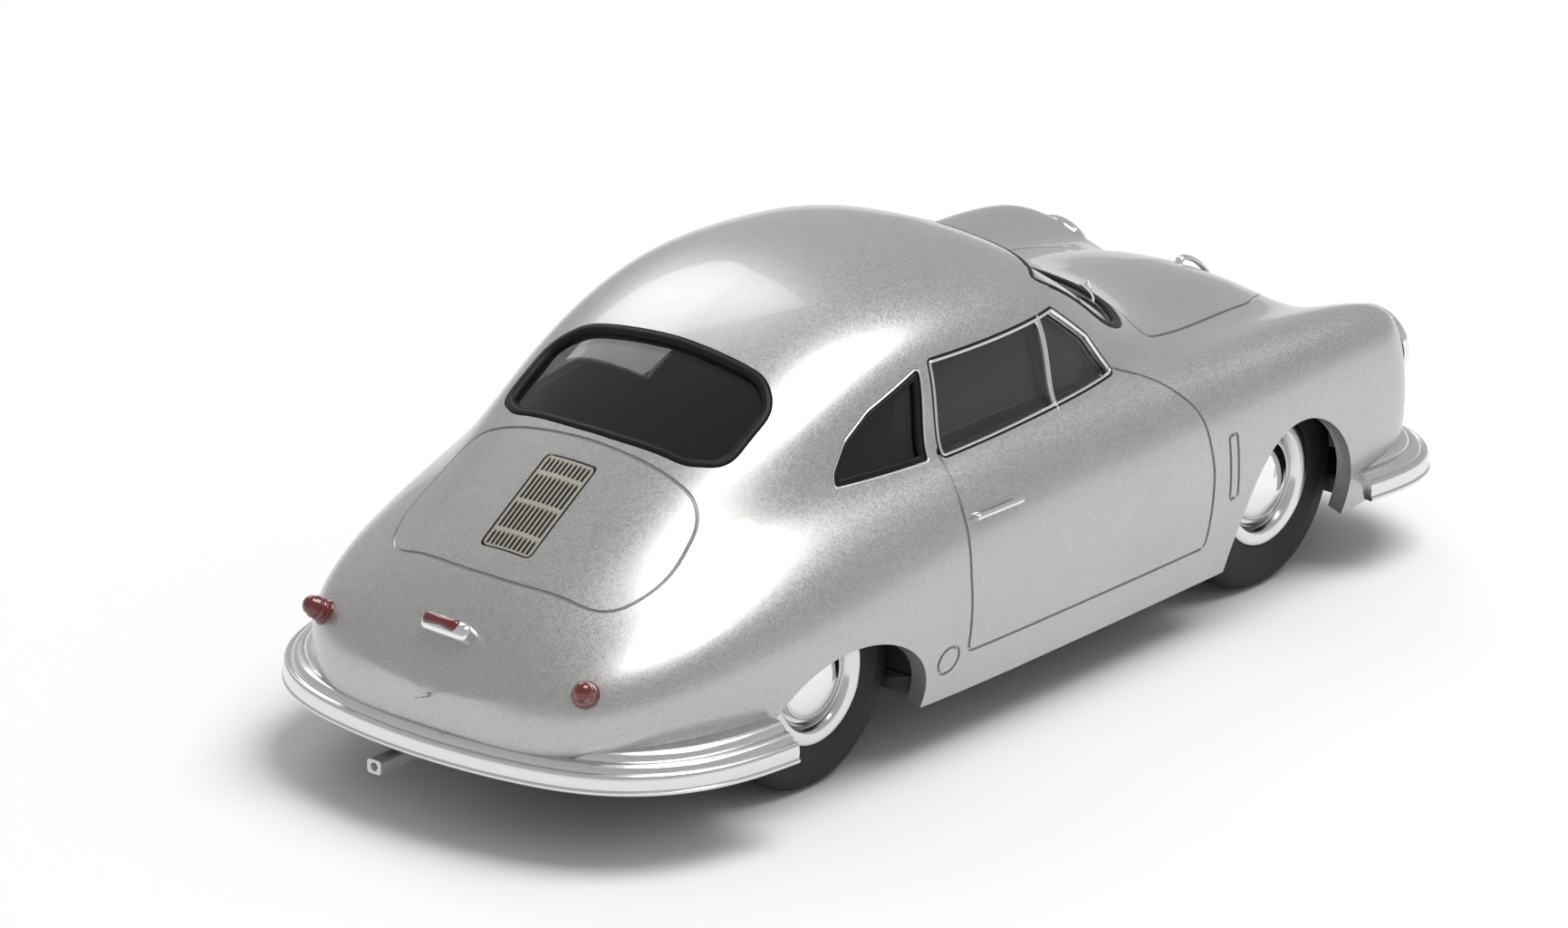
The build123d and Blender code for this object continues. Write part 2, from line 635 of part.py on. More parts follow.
lamp_axis = Vector(1, 0, 0.2).normalized()
buckets = {}
for name, side in SIDES.items():
    skin_point = on_skin(side, AT_NOSE, y=14.1 * BROAD, z=14.3 * HIGH).origin
    lamp_plane = Plane(origin=skin_point + lamp_axis * 0.1, x_dir=(0, 1, 0), z_dir=lamp_axis)
    outer_radius = headlamp_radius + headlamp_ring
    with BuildPart() as lamp_glass:
        add(turned(lamp_plane, (0, -0.5), (headlamp_radius, -0.5), (headlamp_radius, 0.3),
                   (0.75 * headlamp_radius, 0.75), (0.4 * headlamp_radius, 1.0), (0, 1.1)))
    with BuildPart() as lamp_ring:
        add(turned(lamp_plane, (headlamp_radius, 0), (outer_radius, 0), (outer_radius, 0.35),
                   (headlamp_radius + 0.25, 0.6), (headlamp_radius, 0.5)))
    with BuildPart() as bucket:
        with BuildSketch(lamp_plane):
            Circle(outer_radius)
        extrude(amount=-4.5)
    save(lamp_glass.part, f"headlamp_glass_{name}")
    save(lamp_ring.part, f"headlamp_ring_{name}")
    seated += [f"headlamp_glass_{name}", f"headlamp_ring_{name}"]
    buckets[name] = bucket.part

# ---------------------------------------------------------------- bumpers
BUMPER_LINES = {               # plan of the blade face, from the wheel arch to the centreline
    "rear": [(-29.5, 19.8), (-34.5, 19.1), (-38.6, 17.4), (-42.3, 13.7), (-44.6, 7.0)],
    "front": [(33.5, 19.6), (37.0, 19.9), (40.6, 19.2), (43.3, 16.6), (44.8, 11.0)],
}
BUMPER_TIPS = {"rear": TAIL_X - bumper_tail_gap, "front": NOSE_X + bumper_nose_gap}


def bumper(end):
    """Blade with a two-rib flange, swept round the end and trimmed to the skin."""
    left_half = [(x * LONG, y * BROAD) for x, y in BUMPER_LINES[end]]
    right_half = [(x, -y) for x, y in reversed(left_half)]
    with BuildPart() as solid:
        with BuildLine() as route:
            Spline(*left_half, (BUMPER_TIPS[end], 0), *right_half)
        line = route.line
        start, forwards = line @ 0, line % 0
        outwards = forwards.cross(Vector(0, 0, 1))
        if outwards.Y < 0:
            outwards = -outwards
        rise = bumper_top_z - bumper_blade_top_z
        mid_z = bumper_blade_top_z + 0.5 * rise
        with BuildSketch(Plane(origin=start, x_dir=outwards, z_dir=outwards.cross(Vector(0, 0, 1)))):
            with BuildLine():
                Polyline((-bumper_blade, bumper_bottom_z), (bumper_lip, bumper_bottom_z),
                         (bumper_lip, bumper_bottom_z + 0.25), (0, bumper_bottom_z + 0.35),
                         (0, bumper_blade_top_z))
                ThreePointArc((0, bumper_blade_top_z), (-0.35, mid_z - 0.05), (-1.0, mid_z))
                Line((-1.0, mid_z), (-1.1, mid_z - 0.08))
                ThreePointArc((-1.1, mid_z - 0.08), (-1.45, bumper_top_z - 0.12), (-2.1, bumper_top_z))
                Polyline((-2.1, bumper_top_z), (-bumper_depth, bumper_top_z),
                         (-bumper_depth, bumper_blade_top_z), (-bumper_blade, bumper_blade_top_z - 0.3),
                         (-bumper_blade, bumper_bottom_z))
            make_face()
        sweep(path=line)
        add(outer, mode=Mode.SUBTRACT)
    return solid.part


for end in BUMPER_LINES:
    save(bumper(end), f"bumper_{end}")

with BuildPart() as exhaust_pipe:
    exhaust_tip = (BUMPER_TIPS["rear"], exhaust_y, plate_bottom_z - exhaust_height / 2)
    tip_plane = Plane(origin=exhaust_tip, x_dir=(0, 1, 0), z_dir=(1, 0, 0))
    with BuildSketch(tip_plane):
        RectangleRounded(exhaust_width, exhaust_height, 0.25)
    extrude(amount=exhaust_length)
    with BuildSketch(tip_plane):
        Circle(exhaust_bore)
    extrude(amount=3.0, mode=Mode.SUBTRACT)
save(exhaust_pipe.part, "exhaust_pipe")

# ---------------------------------------------------------------- engine grille
grille_floor = shell_solid(glass_depth, CABIN)
backing_top = shell_solid(glass_depth - backing_thickness, CABIN)
grille_top = shell_solid(0.06, CABIN)
with BuildSketch() as grille_outline:
    with Locations((grille_x, 0)):
        RectangleRounded(grille_length, grille_width, 0.35)
with BuildSketch() as grille_slots:
    row_x = grille_x - (sum(grille_rows) + grille_bar * (len(grille_rows) - 1)) / 2
    for length in grille_rows:
        with Locations((row_x + length / 2, 0)):
            with GridLocations(0, grille_pitch, 1, grille_columns):
                Rectangle(length, grille_slot)
        row_x += length + grille_bar
grille_block = top_block(grille_outline.sketch, 10.0)
with BuildPart() as grille_backing:
    add(backing_top)
    add(grille_floor, mode=Mode.SUBTRACT)
    add(grille_block, mode=Mode.INTERSECT)
with BuildPart() as engine_grille:
    add(grille_top)
    add(backing_top, mode=Mode.SUBTRACT)
    add(grille_block, mode=Mode.INTERSECT)
    add(top_block(grille_slots.sketch, 10.0), mode=Mode.SUBTRACT)
with BuildPart() as grille_recess:
    add(grille_block)
    add(grille_floor, mode=Mode.SUBTRACT)
save(grille_backing.part, "grille_backing")
save(engine_grille.part, "engine_grille")

# ---------------------------------------------------------------- interior
tub_front_x = front_plinth_x - boss_radius - part_gap
tub_step_x = rear_axle_x + wheel_house_radius + fit_gap
tub_half_width = skin_y(tub_front_x, plate_top_z + tub_height) - wall - tub_side_air
tub_rear_half_width = wheel_house_y - wheel_house_wall - fit_gap
floor_top_z = plate_top_z + tub_wall
rim_z = plate_top_z + tub_height
rear_floor_z = axle_z + axle_radius + part_gap



def plan_box(low_x, high_x, half_width, low_z, high_z):
    """Box between two stations, centred on the car."""
    with BuildPart() as box:
        with BuildSketch(Plane.XY.offset(low_z)):
            with Locations(((low_x + high_x) / 2, 0)):
                Rectangle(high_x - low_x, 2 * half_width)
        extrude(amount=high_z - low_z)
    return box.part


with BuildPart() as interior_tub:
    add(plan_box(tub_rear_x, tub_step_x, tub_rear_half_width, rear_floor_z, rim_z))
    add(plan_box(tub_step_x, tub_front_x, tub_half_width, plate_top_z, rim_z))
    add(plan_box(tub_rear_x + tub_wall, tub_step_x + tub_wall, tub_rear_half_width - tub_wall,
                 rear_floor_z + tub_wall, rim_z), mode=Mode.SUBTRACT)
    add(plan_box(tub_step_x + tub_wall, tub_front_x - tub_wall, tub_half_width - tub_wall,
                 floor_top_z, rim_z), mode=Mode.SUBTRACT)
    add(plan_box(tub_step_x + tub_wall, tub_front_x - tub_wall / 2, tunnel_half_width, floor_top_z,
                 floor_top_z + tunnel_height))
save(interior_tub.part, "interior_tub")

with BuildPart() as dashboard:
    add(plan_box(tub_front_x - dash_depth, tub_front_x, tub_half_width - 2.4, rim_z, rim_z + dash_height))
    fillet(dashboard.edges().filter_by(Axis.Y).group_by(Axis.Z)[-1], 0.7)
    dial_plane = Plane(origin=(tub_front_x - dash_depth, 0, rim_z + 0.55 * dash_height),
                       x_dir=(0, 1, 0), z_dir=(-1, 0, 0))
    with BuildSketch(dial_plane):
        with Locations((-9.6, 0), (-7.3, 0), (-5.0, 0)):
            Circle(0.95)
            Circle(0.75, mode=Mode.SUBTRACT)
    extrude(amount=0.15)
save(dashboard.part, "dashboard")


def seat(width, centre_y, front_x, length, back_height, floor_z):
    """Cushion and leaning back as one upholstered piece."""
    with BuildPart() as solid:
        with BuildSketch(Plane.XY.offset(floor_z)):
            with Locations((front_x - length / 2, centre_y)):
                RectangleRounded(length, width, 1.2)
        extrude(amount=seat_cushion)
        fillet(solid.edges().group_by(Axis.Z)[-1], 0.8)
        back_plane = Plane(origin=(front_x - length + 0.2, centre_y, floor_z + 1.0),
                           x_dir=(0, 1, 0), z_dir=(1, 0, 0)).rotated((0, -seat_lean, 0))
        with BuildSketch(back_plane):
            with Locations((0, back_height / 2)):
                RectangleRounded(width, back_height, 1.6)
        extrude(amount=seat_back)
    return solid.part


for name, side in SIDES.items():
    front_seat = seat(seat_width, side * seat_spacing / 2, front_seat_x, seat_length,
                      seat_back_height, floor_top_z)
    save(front_seat, f"seat_{name}")
bench_length = tub_step_x - tub_rear_x - tub_wall - bench_back_height * np.sin(np.radians(seat_lean)) - 0.5
save(seat(2 * bench_half_width, 0, tub_step_x - 0.3, float(bench_length), bench_back_height,
          rear_floor_z + tub_wall), "rear_bench")

steering_axis = Vector(-1, 0, 0.45).normalized()
steering_y = seat_spacing / 2
rim_centre = Vector(steering_x, steering_y, steering_z)
with BuildPart() as steering_wheel:
    wheel_plane = Plane(origin=rim_centre, x_dir=(0, 1, 0), z_dir=steering_axis)
    with BuildSketch(wheel_plane.offset(-0.3)):
        Circle(wheel_rim_radius + 0.3)
        Circle(wheel_rim_radius - 0.3, mode=Mode.SUBTRACT)
        Rectangle(2 * wheel_rim_radius, 0.5)
        with Locations((0, -wheel_rim_radius / 2)):
            Rectangle(0.5, wheel_rim_radius)
        Circle(0.8)
    extrude(amount=0.6)
    with BuildSketch(wheel_plane):
        Circle(column_radius)
    extrude(amount=(tub_front_x - tub_wall / 2 - steering_x) / steering_axis.X)
    add(interior_tub.part, mode=Mode.SUBTRACT)
    add(dashboard.part, mode=Mode.SUBTRACT)
save(steering_wheel.part, "steering_wheel")

lever_x = front_seat_x + 2.0
with BuildPart() as gear_lever:
    with Locations((lever_x, 0, floor_top_z + tunnel_height)):
        Cylinder(0.25, gear_lever_length, align=(Align.CENTER, Align.CENTER, Align.MIN))
    with Locations((lever_x, 0, floor_top_z + tunnel_height + gear_lever_length)):
        Sphere(0.7)
save(gear_lever.part, "gear_lever")

mirror_x = 6.6 * LONG
mirror_top_z = skin_z(mirror_x) - 0.6 * wall
with BuildPart() as rear_view_mirror:
    with Locations((mirror_x, 0, mirror_top_z - 1.6)):
        Cylinder(0.2, 1.6, align=(Align.CENTER, Align.CENTER, Align.MIN))
    with Locations((mirror_x, 0, mirror_top_z - 2.0)):
        Box(0.45, 3.8, 1.0)
save(rear_view_mirror.part, "rear_view_mirror")

wiper_top = shell_solid(-seal_proud - wiper_rise, CABIN)
with BuildPart() as wiper_layer:
    add(wiper_top)
    add(proud, mode=Mode.SUBTRACT)
wiper_pieces = []
pivot_y = 4.8 * BROAD
pivot_z = 21.6 * HIGH
for side in SIDES.values():
    blade_tip_y = pivot_y + wiper_length
    blade = rounded_face(
        [(side * (pivot_y - 0.3), pivot_z - 0.1), (side * (pivot_y + 0.3), pivot_z - 0.4),
         (side * blade_tip_y, pivot_z + 2.5), (side * (blade_tip_y - 0.3), pivot_z + 2.9)], 0.1)
    wiper_pieces.append(within(wiper_layer.part, front_block(blade, screen_start)))
    pivot_plane = on_skin(side, AT_SCREEN, y=pivot_y, z=pivot_z)
    wiper_pieces.append(turned(pivot_plane, (0, -0.6), (0.25, -0.6), (0.25, 0), (0.45, 0), (0.45, 0.4),
                               (0.25, 0.6), (0, 0.6)))
with BuildPart() as wipers:
    for piece in wiper_pieces:
        add(piece)
save(wipers.part, "wipers")
seated += ["rear_view_mirror", "wipers"]

# ---------------------------------------------------------------- body shell
door_outline = rounded_face(
    scaled([(-9.8, 20.9), (-9.8, 20.0), (-10.4, 17.5), (-10.7, 13.0), (-10.4, 7.4), (15.6, 7.2),
            (15.9, 13.0), (15.3, 17.0), (13.0, 19.7), (10.0, 20.9)], HIGH), 0.45)
lid_outline = rounded_face(
    scaled([(-27.7, 10.3), (-28.4, 0), (-27.7, -10.3), (-33.0, -11.2), (-37.2, -9.6), (-38.1, 0),
            (-37.2, 9.6), (-33.0, 11.2)], BROAD), 1.2)
bonnet_edge = [(17.3, 12.0), (25.7, 10.3), (33.0, 8.9), (38.2, 6.2), (40.6, 2.2)]
bonnet_outline = rounded_face(
    scaled([(19.0, 0), *bonnet_edge, *[(x, -y) for x, y in reversed(bonnet_edge)]], BROAD), 0.8)
with BuildSketch() as socket_cover:
    with Locations((-12.3 * LONG, 7.3 * HIGH)):
        Circle(1.05)
with BuildSketch() as semaphore_cover:
    with Locations((18.2 * LONG, 12.5 * HIGH)):
        Rectangle(0.9, 4.6)


def engraved(block):
    """The part of a shut-line block that reaches into the skin by the engraved depth."""
    with BuildPart() as tool:
        add(block)
        add(engraving_floor, mode=Mode.SUBTRACT)
    return tool.part


def arch_face(centre_x, half_length, top):
    with BuildSketch() as arch:
        with Locations((centre_x, arch_centre_z)):
            Ellipse(half_length, top - arch_centre_z)
            Rectangle(2 * half_length, 10.0, align=(Align.CENTER, Align.MAX))
    return arch.sketch


front_arch = arch_face(front_axle_x + front_arch_offset, front_arch_half_length, front_arch_top)
rear_arch = arch_face(rear_axle_x + rear_arch_offset, rear_arch_half_length, rear_arch_top)

with BuildPart() as body_shell:
    add(outer)
    add(hollow, mode=Mode.SUBTRACT)
    for x in (front_body_screw_x, rear_body_screw_x):
        with BuildSketch(Plane.XY.offset(plate_top_z)):
            with Locations((x, 0)):
                Circle(boss_radius)
        extrude(amount=skin_z(x) - 0.5 * wall - plate_top_z)
    with BuildSketch(Plane.XY.offset(plate_top_z)):
        with Locations((front_body_screw_x, 0), (rear_body_screw_x, 0)):
            Circle(body_screw_radius)
    extrude(amount=plate_bottom_z + body_screw_length + 0.2 - plate_top_z, mode=Mode.SUBTRACT)
    for name, side in SIDES.items():
        add(buckets[name])
        for face in (front_arch, rear_arch):
            add(side_block(face, side, start=wheel_house_y), mode=Mode.SUBTRACT)
        for face in (door_outline, socket_cover.sketch, semaphore_cover.sketch):
            add(engraved(side_block(ring(face, panel_gap), side)), mode=Mode.SUBTRACT)
    for face in (lid_outline, bonnet_outline):
        add(engraved(top_block(ring(face, panel_gap), 10.0)), mode=Mode.SUBTRACT)
    for block in BLOCKS.values():
        add(block, mode=Mode.SUBTRACT)
    add(grille_recess.part, mode=Mode.SUBTRACT)
    for name in seated:
        add(pieces[name], mode=Mode.SUBTRACT)
save(body_shell.part, "body_shell")


for name, part in pieces.items():
    print(name, len(part.solids()), round(part.volume, 2), part.is_valid)
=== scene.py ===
# %% [markdown]
# # A small silver display car
# The object is a collector's model of a rounded two-door coupe, about 90 mm long.  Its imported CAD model
# is the frame: every piece below is placed from it, in metres, with +X to the front, +Y to the left
# and +Z up.  Sizes are written in millimetres and turned into metres where a mesh is made.

import bmesh
import bpy
import numpy as np
from mathutils import Matrix, Vector


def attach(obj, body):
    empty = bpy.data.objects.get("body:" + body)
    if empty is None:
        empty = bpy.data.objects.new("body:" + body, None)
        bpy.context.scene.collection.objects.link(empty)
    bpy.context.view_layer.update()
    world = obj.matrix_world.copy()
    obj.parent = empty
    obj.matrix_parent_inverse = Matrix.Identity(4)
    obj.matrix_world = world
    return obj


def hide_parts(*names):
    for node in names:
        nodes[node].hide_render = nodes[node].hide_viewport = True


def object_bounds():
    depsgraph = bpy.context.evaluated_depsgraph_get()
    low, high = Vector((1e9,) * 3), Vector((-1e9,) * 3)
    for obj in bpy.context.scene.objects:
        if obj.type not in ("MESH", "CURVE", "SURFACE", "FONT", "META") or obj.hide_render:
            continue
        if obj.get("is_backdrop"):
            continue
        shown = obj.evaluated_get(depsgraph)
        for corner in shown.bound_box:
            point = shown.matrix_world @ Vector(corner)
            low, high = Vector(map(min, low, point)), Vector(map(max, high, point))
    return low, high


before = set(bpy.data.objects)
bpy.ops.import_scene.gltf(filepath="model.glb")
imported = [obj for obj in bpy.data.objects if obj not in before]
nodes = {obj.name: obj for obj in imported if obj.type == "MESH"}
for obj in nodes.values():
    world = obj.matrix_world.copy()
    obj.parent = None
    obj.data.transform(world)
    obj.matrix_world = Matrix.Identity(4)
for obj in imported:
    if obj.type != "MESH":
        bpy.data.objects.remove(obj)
cad_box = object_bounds()
MM = 0.001
SIDES = {"left": 1.0, "right": -1.0}
print("CAD nodes:", len(nodes))


# %% [markdown]
# ## From points to a mesh
# Every new piece is a surface worked out as a whole array of points, so one helper turns a grid of
# points into a mesh.  A grid may close on itself round a wheel or along a seal, and its poles and seams
# are welded so that the mesh is a closed skin.

# %% Mesh helpers
def grid_faces(rows, columns, wrap_rows=False, wrap_columns=False):
    """Quads of a grid: (i, j), (i+1, j), (i+1, j+1), (i, j+1), counted round where it wraps."""
    i = np.arange(rows if wrap_rows else rows - 1)[:, None]
    j = np.arange(columns if wrap_columns else columns - 1)[None, :]
    right, up = (i + 1) % rows, (j + 1) % columns
    corners = [i * columns + j, right * columns + j, right * columns + up, i * columns + up]
    return np.stack([c + 0 * (i + j) for c in corners], axis=-1).reshape(-1, 4)


def weld(mesh, distance=1e-7, recalculate=True):
    """Merges equal points and turns all faces outwards."""
    work = bmesh.new()
    work.from_mesh(mesh)
    bmesh.ops.remove_doubles(work, verts=work.verts, dist=distance)
    bmesh.ops.dissolve_degenerate(work, edges=work.edges, dist=distance)
    if recalculate:
        bmesh.ops.recalc_face_normals(work, faces=work.faces)
    work.to_mesh(mesh)
    work.free()


def new_piece(name, points, faces, sharp_angle=0.6):
    """A welded, smooth-shaded object from points in millimetres."""
    mesh = bpy.data.meshes.new(name)
    mesh.from_pydata((np.asarray(points, float) * MM).tolist(), [], np.asarray(faces).tolist())
    weld(mesh)
    mesh.shade_smooth()
    mesh.set_sharp_from_angle(angle=sharp_angle)
    piece = bpy.data.objects.new(name, mesh)
    bpy.context.scene.collection.objects.link(piece)
    return piece


def surface(name, grid, wrap_rows=False, wrap_columns=False, sharp_angle=0.6):
    """A piece from a grid of points, rows by columns by 3."""
    rows, columns = grid.shape[:2]
    faces = grid_faces(rows, columns, wrap_rows, wrap_columns)
    return new_piece(name, grid.reshape(-1, 3), faces, sharp_angle)


def joined(name, grids, sharp_angle=0.6):
    """One piece from several grids that each wrap as (points, wrap_rows, wrap_columns) says."""
    points, faces, count = [], [], 0
    for grid, wrap_rows, wrap_columns in grids:
        faces.append(grid_faces(*grid.shape[:2], wrap_rows, wrap_columns) + count)
        points.append(grid.reshape(-1, 3))
        count += points[-1].shape[0]
    return new_piece(name, np.vstack(points), np.vstack(faces), sharp_angle)


def finish_piece(piece, material, body="root", stands_for=()):
    """Material, body and the CAD nodes that the piece stands for."""
    piece.data.materials.clear()
    piece.data.materials.append(material)
    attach(piece, body)
    if stands_for:
        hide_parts(*stands_for)
    return piece


def softened(node, material, body="root", bevel=0.04, angle=0.5):
    """A welded copy of a CAD node with rounded edges, for pieces whose CAD shape is right."""
    mesh = nodes[node].data.copy()
    mesh.name = node + "_soft"
    weld(mesh, 2e-6, recalculate=False)
    mesh.shade_smooth()
    mesh.set_sharp_from_angle(angle=angle)
    piece = bpy.data.objects.new(node + "_soft", mesh)
    bpy.context.scene.collection.objects.link(piece)
    if bevel:
        edge = piece.modifiers.new("rounded edges", "BEVEL")
        edge.width, edge.segments, edge.limit_method, edge.angle_limit = bevel * MM, 2, "ANGLE", angle
        edge.use_clamp_overlap = True
        edge.harden_normals = True
    return finish_piece(piece, material, body, (node,))


# %% [markdown]
# ## Curves and sections
# Three small tools cover most trim: an outline with rounded corners, a smooth curve through a few
# points, and a profile turned about an axis or carried along a path.

# %% Outline, curve, lathe and sweep
def rounded(corners, radius, spacing=0.25):
    """Closed outline with rounded corners.  A corner turns from t = r / tan(angle / 2) before it to t
    after it, along (1-s)^2 start + 2s(1-s) corner + s^2 end.  t stays under half of the shorter run."""
    corners = np.asarray(corners, float)
    back = np.roll(corners, 1, axis=0) - corners
    ahead = np.roll(corners, -1, axis=0) - corners
    longest = 0.48 * np.minimum(np.linalg.norm(back, axis=1), np.linalg.norm(ahead, axis=1))
    back /= np.linalg.norm(back, axis=1)[:, None]
    ahead /= np.linalg.norm(ahead, axis=1)[:, None]
    half = np.arccos(np.clip((back * ahead).sum(1), -1, 1)) / 2
    reach = np.minimum(np.asarray(radius, float) / np.tan(half), longest)
    start, end = corners + back * reach[:, None], corners + ahead * reach[:, None]
    s = np.linspace(0, 1, 7)[None, :, None]
    bend = (1 - s) ** 2 * start[:, None] + 2 * s * (1 - s) * corners[:, None] + s**2 * end[:, None]
    return evened(bend.reshape(-1, 2), spacing)


def evened(line, spacing, closed=True):
    """The same line with points at equal distances along it."""
    if closed:
        line = np.vstack([line, line[:1]])
    run = np.concatenate([[0], np.cumsum(np.linalg.norm(np.diff(line, axis=0), axis=1))])
    count = max(8, int(round(run[-1] / spacing)))
    places = np.linspace(0, run[-1], count + 1)
    if closed:
        places = places[:-1]
    return np.column_stack([np.interp(places, run, line[:, k]) for k in range(line.shape[1])])


def through(points, count):
    """Natural cubic spline through points: second derivatives solve a tridiagonal system."""
    p = np.asarray(points, float)
    t = np.concatenate([[0], np.cumsum(np.linalg.norm(np.diff(p, axis=0), axis=1))])
    h, n = np.diff(t), len(p)
    system, load = np.eye(n), np.zeros_like(p)
    k = np.arange(1, n - 1)
    system[k, k - 1], system[k, k], system[k, k + 1] = h[:-1], 2 * (h[:-1] + h[1:]), h[1:]
    slope = np.diff(p, axis=0) / h[:, None]
    load[1:-1] = 6 * np.diff(slope, axis=0)
    bend = np.linalg.solve(system, load)
    s = np.linspace(0, t[-1], count)
    i = np.clip(np.searchsorted(t, s) - 1, 0, n - 2)
    a, b = ((t[i + 1] - s) / h[i])[:, None], ((s - t[i]) / h[i])[:, None]
    return a * p[i] + b * p[i + 1] + ((a**3 - a) * bend[i] + (b**3 - b) * bend[i + 1]) * h[i, None] ** 2 / 6


def lathe(profile, centre, axis, steps=96):
    """Grid of a (radius, height) profile turned about an axis through centre."""
    axis = np.asarray(axis, float) / np.linalg.norm(axis)
    side = np.cross(axis, [0.0, 0.0, 1.0])
    if np.linalg.norm(side) < 1e-6:
        side = np.array([1.0, 0.0, 0.0])
    side /= np.linalg.norm(side)
    other = np.cross(axis, side)
    turn = np.linspace(0, 2 * np.pi, steps, endpoint=False)[:, None, None]
    profile = np.asarray(profile, float)
    r, h = profile[None, :, :1], profile[None, :, 1:]
    return np.asarray(centre) + r * (np.cos(turn) * side + np.sin(turn) * other) + h * axis


def carried(path, normals, profile, closed=True):
    """Grid of a profile carried along a path: a point (a, b) goes to path + a * side + b * normal,
    where side is the normal crossed with the path's direction."""
    if closed:
        run = np.roll(path, -1, axis=0) - np.roll(path, 1, axis=0)
    else:
        run = np.gradient(path, axis=0)
    run /= np.linalg.norm(run, axis=1)[:, None]
    side = np.cross(normals, run)
    side /= np.linalg.norm(side, axis=1)[:, None]
    up = np.cross(run, side)
    profile = np.asarray(profile, float)
    return path[:, None] + profile[None, :, :1] * side[:, None] + profile[None, :, 1:] * up[:, None]


def closed_ends(grid):
    """Adds a pole at each end of an open tube, at the middle of its end sections."""
    first = np.repeat(grid[:1].mean(axis=1, keepdims=True), grid.shape[1], axis=1)
    last = np.repeat(grid[-1:].mean(axis=1, keepdims=True), grid.shape[1], axis=1)
    return np.concatenate([first, grid, last])


# %% [markdown]
# ## The body's skin as a formula
# The real body is one casting with a soft, continuous skin.  A cubic B-spline surface gives that: each
# station along the car has a few control points, from the sill over the shoulder to the roof, and the
# surface flows between them.  The same control net shaped the CAD body, so both agree.

# %% Control net and surface
STATIONS = [
    (-44.1, 6.7, 5.7, 9.2, (5.8, 9.9), (5.0, 10.3), (4.1, 10.4), (3.2, 10.5), (2.4, 10.5), 10.5),
    (-42.8, 11.4, 5.4, 10.6, (10.1, 11.6), (8.6, 12.0), (7.1, 12.1), (5.5, 12.3), (4.0, 12.5), 12.6),
    (-39.5, 14.5, 5.0, 11.4, (13.2, 12.9), (11.2, 13.8), (9.4, 14.3), (7.3, 14.8), (5.4, 15.3), 15.6),
    (-33.5, 16.8, 4.5, 12.4, (15.5, 14.4), (13.3, 15.8), (11.0, 16.9), (8.6, 18.1), (6.3, 18.9), 19.4),
    (-26.5, 18.1, 4.2, 12.9, (16.9, 15.4), (14.9, 17.4), (12.8, 19.1), (10.8, 21.2), (8.4, 22.8), 23.8),
    (-18.5, 18.8, 4.1, 13.4, (17.8, 16.4), (16.1, 18.6), (14.3, 20.5), (12.9, 24.1), (10.5, 26.7), 28.0),
    (-9.5, 19.4, 4.1, 14.0, (18.6, 17.2), (16.8, 19.5), (15.0, 20.9), (14.2, 25.0), (11.9, 29.2), 30.6),
    (-0.5, 19.4, 4.1, 14.0, (18.6, 17.5), (16.8, 19.7), (15.2, 20.9), (14.6, 24.6), (12.5, 28.6), 30.5),
    (8.5, 19.4, 4.1, 14.0, (18.6, 17.6), (16.8, 19.6), (15.0, 20.6), (14.0, 23.8), (11.8, 27.5), 29.5),
    (16.5, 19.3, 4.1, 14.0, (18.5, 17.8), (16.3, 19.6), (13.8, 19.9), (11.6, 20.8), (9.0, 22.2), 23.2),
    (23.5, 19.2, 4.1, 14.2, (18.4, 18.1), (15.6, 19.6), (12.4, 18.9), (9.4, 19.2), (6.2, 20.0), 20.6),
    (30.5, 19.1, 4.2, 14.2, (18.4, 18.2), (15.6, 19.5), (11.9, 18.2), (8.8, 18.4), (5.8, 19.1), 19.7),
    (36.5, 19.0, 4.4, 14.2, (18.3, 18.0), (15.5, 19.0), (11.4, 17.2), (8.2, 17.1), (5.4, 17.7), 18.2),
    (41.1, 18.2, 4.9, 13.5, (17.2, 17.0), (14.9, 17.6), (10.8, 15.2), (7.5, 14.7), (5.0, 15.0), 15.3),
    (42.9, 11.3, 5.1, 10.6, (10.5, 12.8), (9.1, 13.2), (6.6, 12.3), (4.5, 11.9), (3.0, 11.9), 11.9),
]
LOW_SIDE = 7.0
END_SHARE, END_HEIGHT = 0.7, 8.3
WALL = 1.2


def control_net():
    """Station places and the (y, z) control points of the left half.  Both ends are drawn to a short
    upright line on the middle plane, at END_SHARE of the height of the last station."""
    rows = []
    for _, half, sill, side, shoulder, crown, belt, flank, edge, top in STATIONS:
        low = LOW_SIDE + 0.45 * (side - LOW_SIDE)       # fullest just under the middle of the side
        rows.append([(half - 1.6, sill), (half - 0.6, LOW_SIDE), (half, low), (half - 0.1, side),
                     shoulder, crown, belt, flank, edge, (0.52 * edge[0], top - 0.1), (0.0, top)])
    rows = np.array(rows, float)
    ends = rows[[0, -1]] * [0, END_SHARE] + [0, (1 - END_SHARE) * END_HEIGHT]
    xs = np.array([row[0] for row in STATIONS])
    return np.concatenate([xs[:1], xs, xs[-1:]]), np.concatenate([ends[:1], rows, ends[1:]])


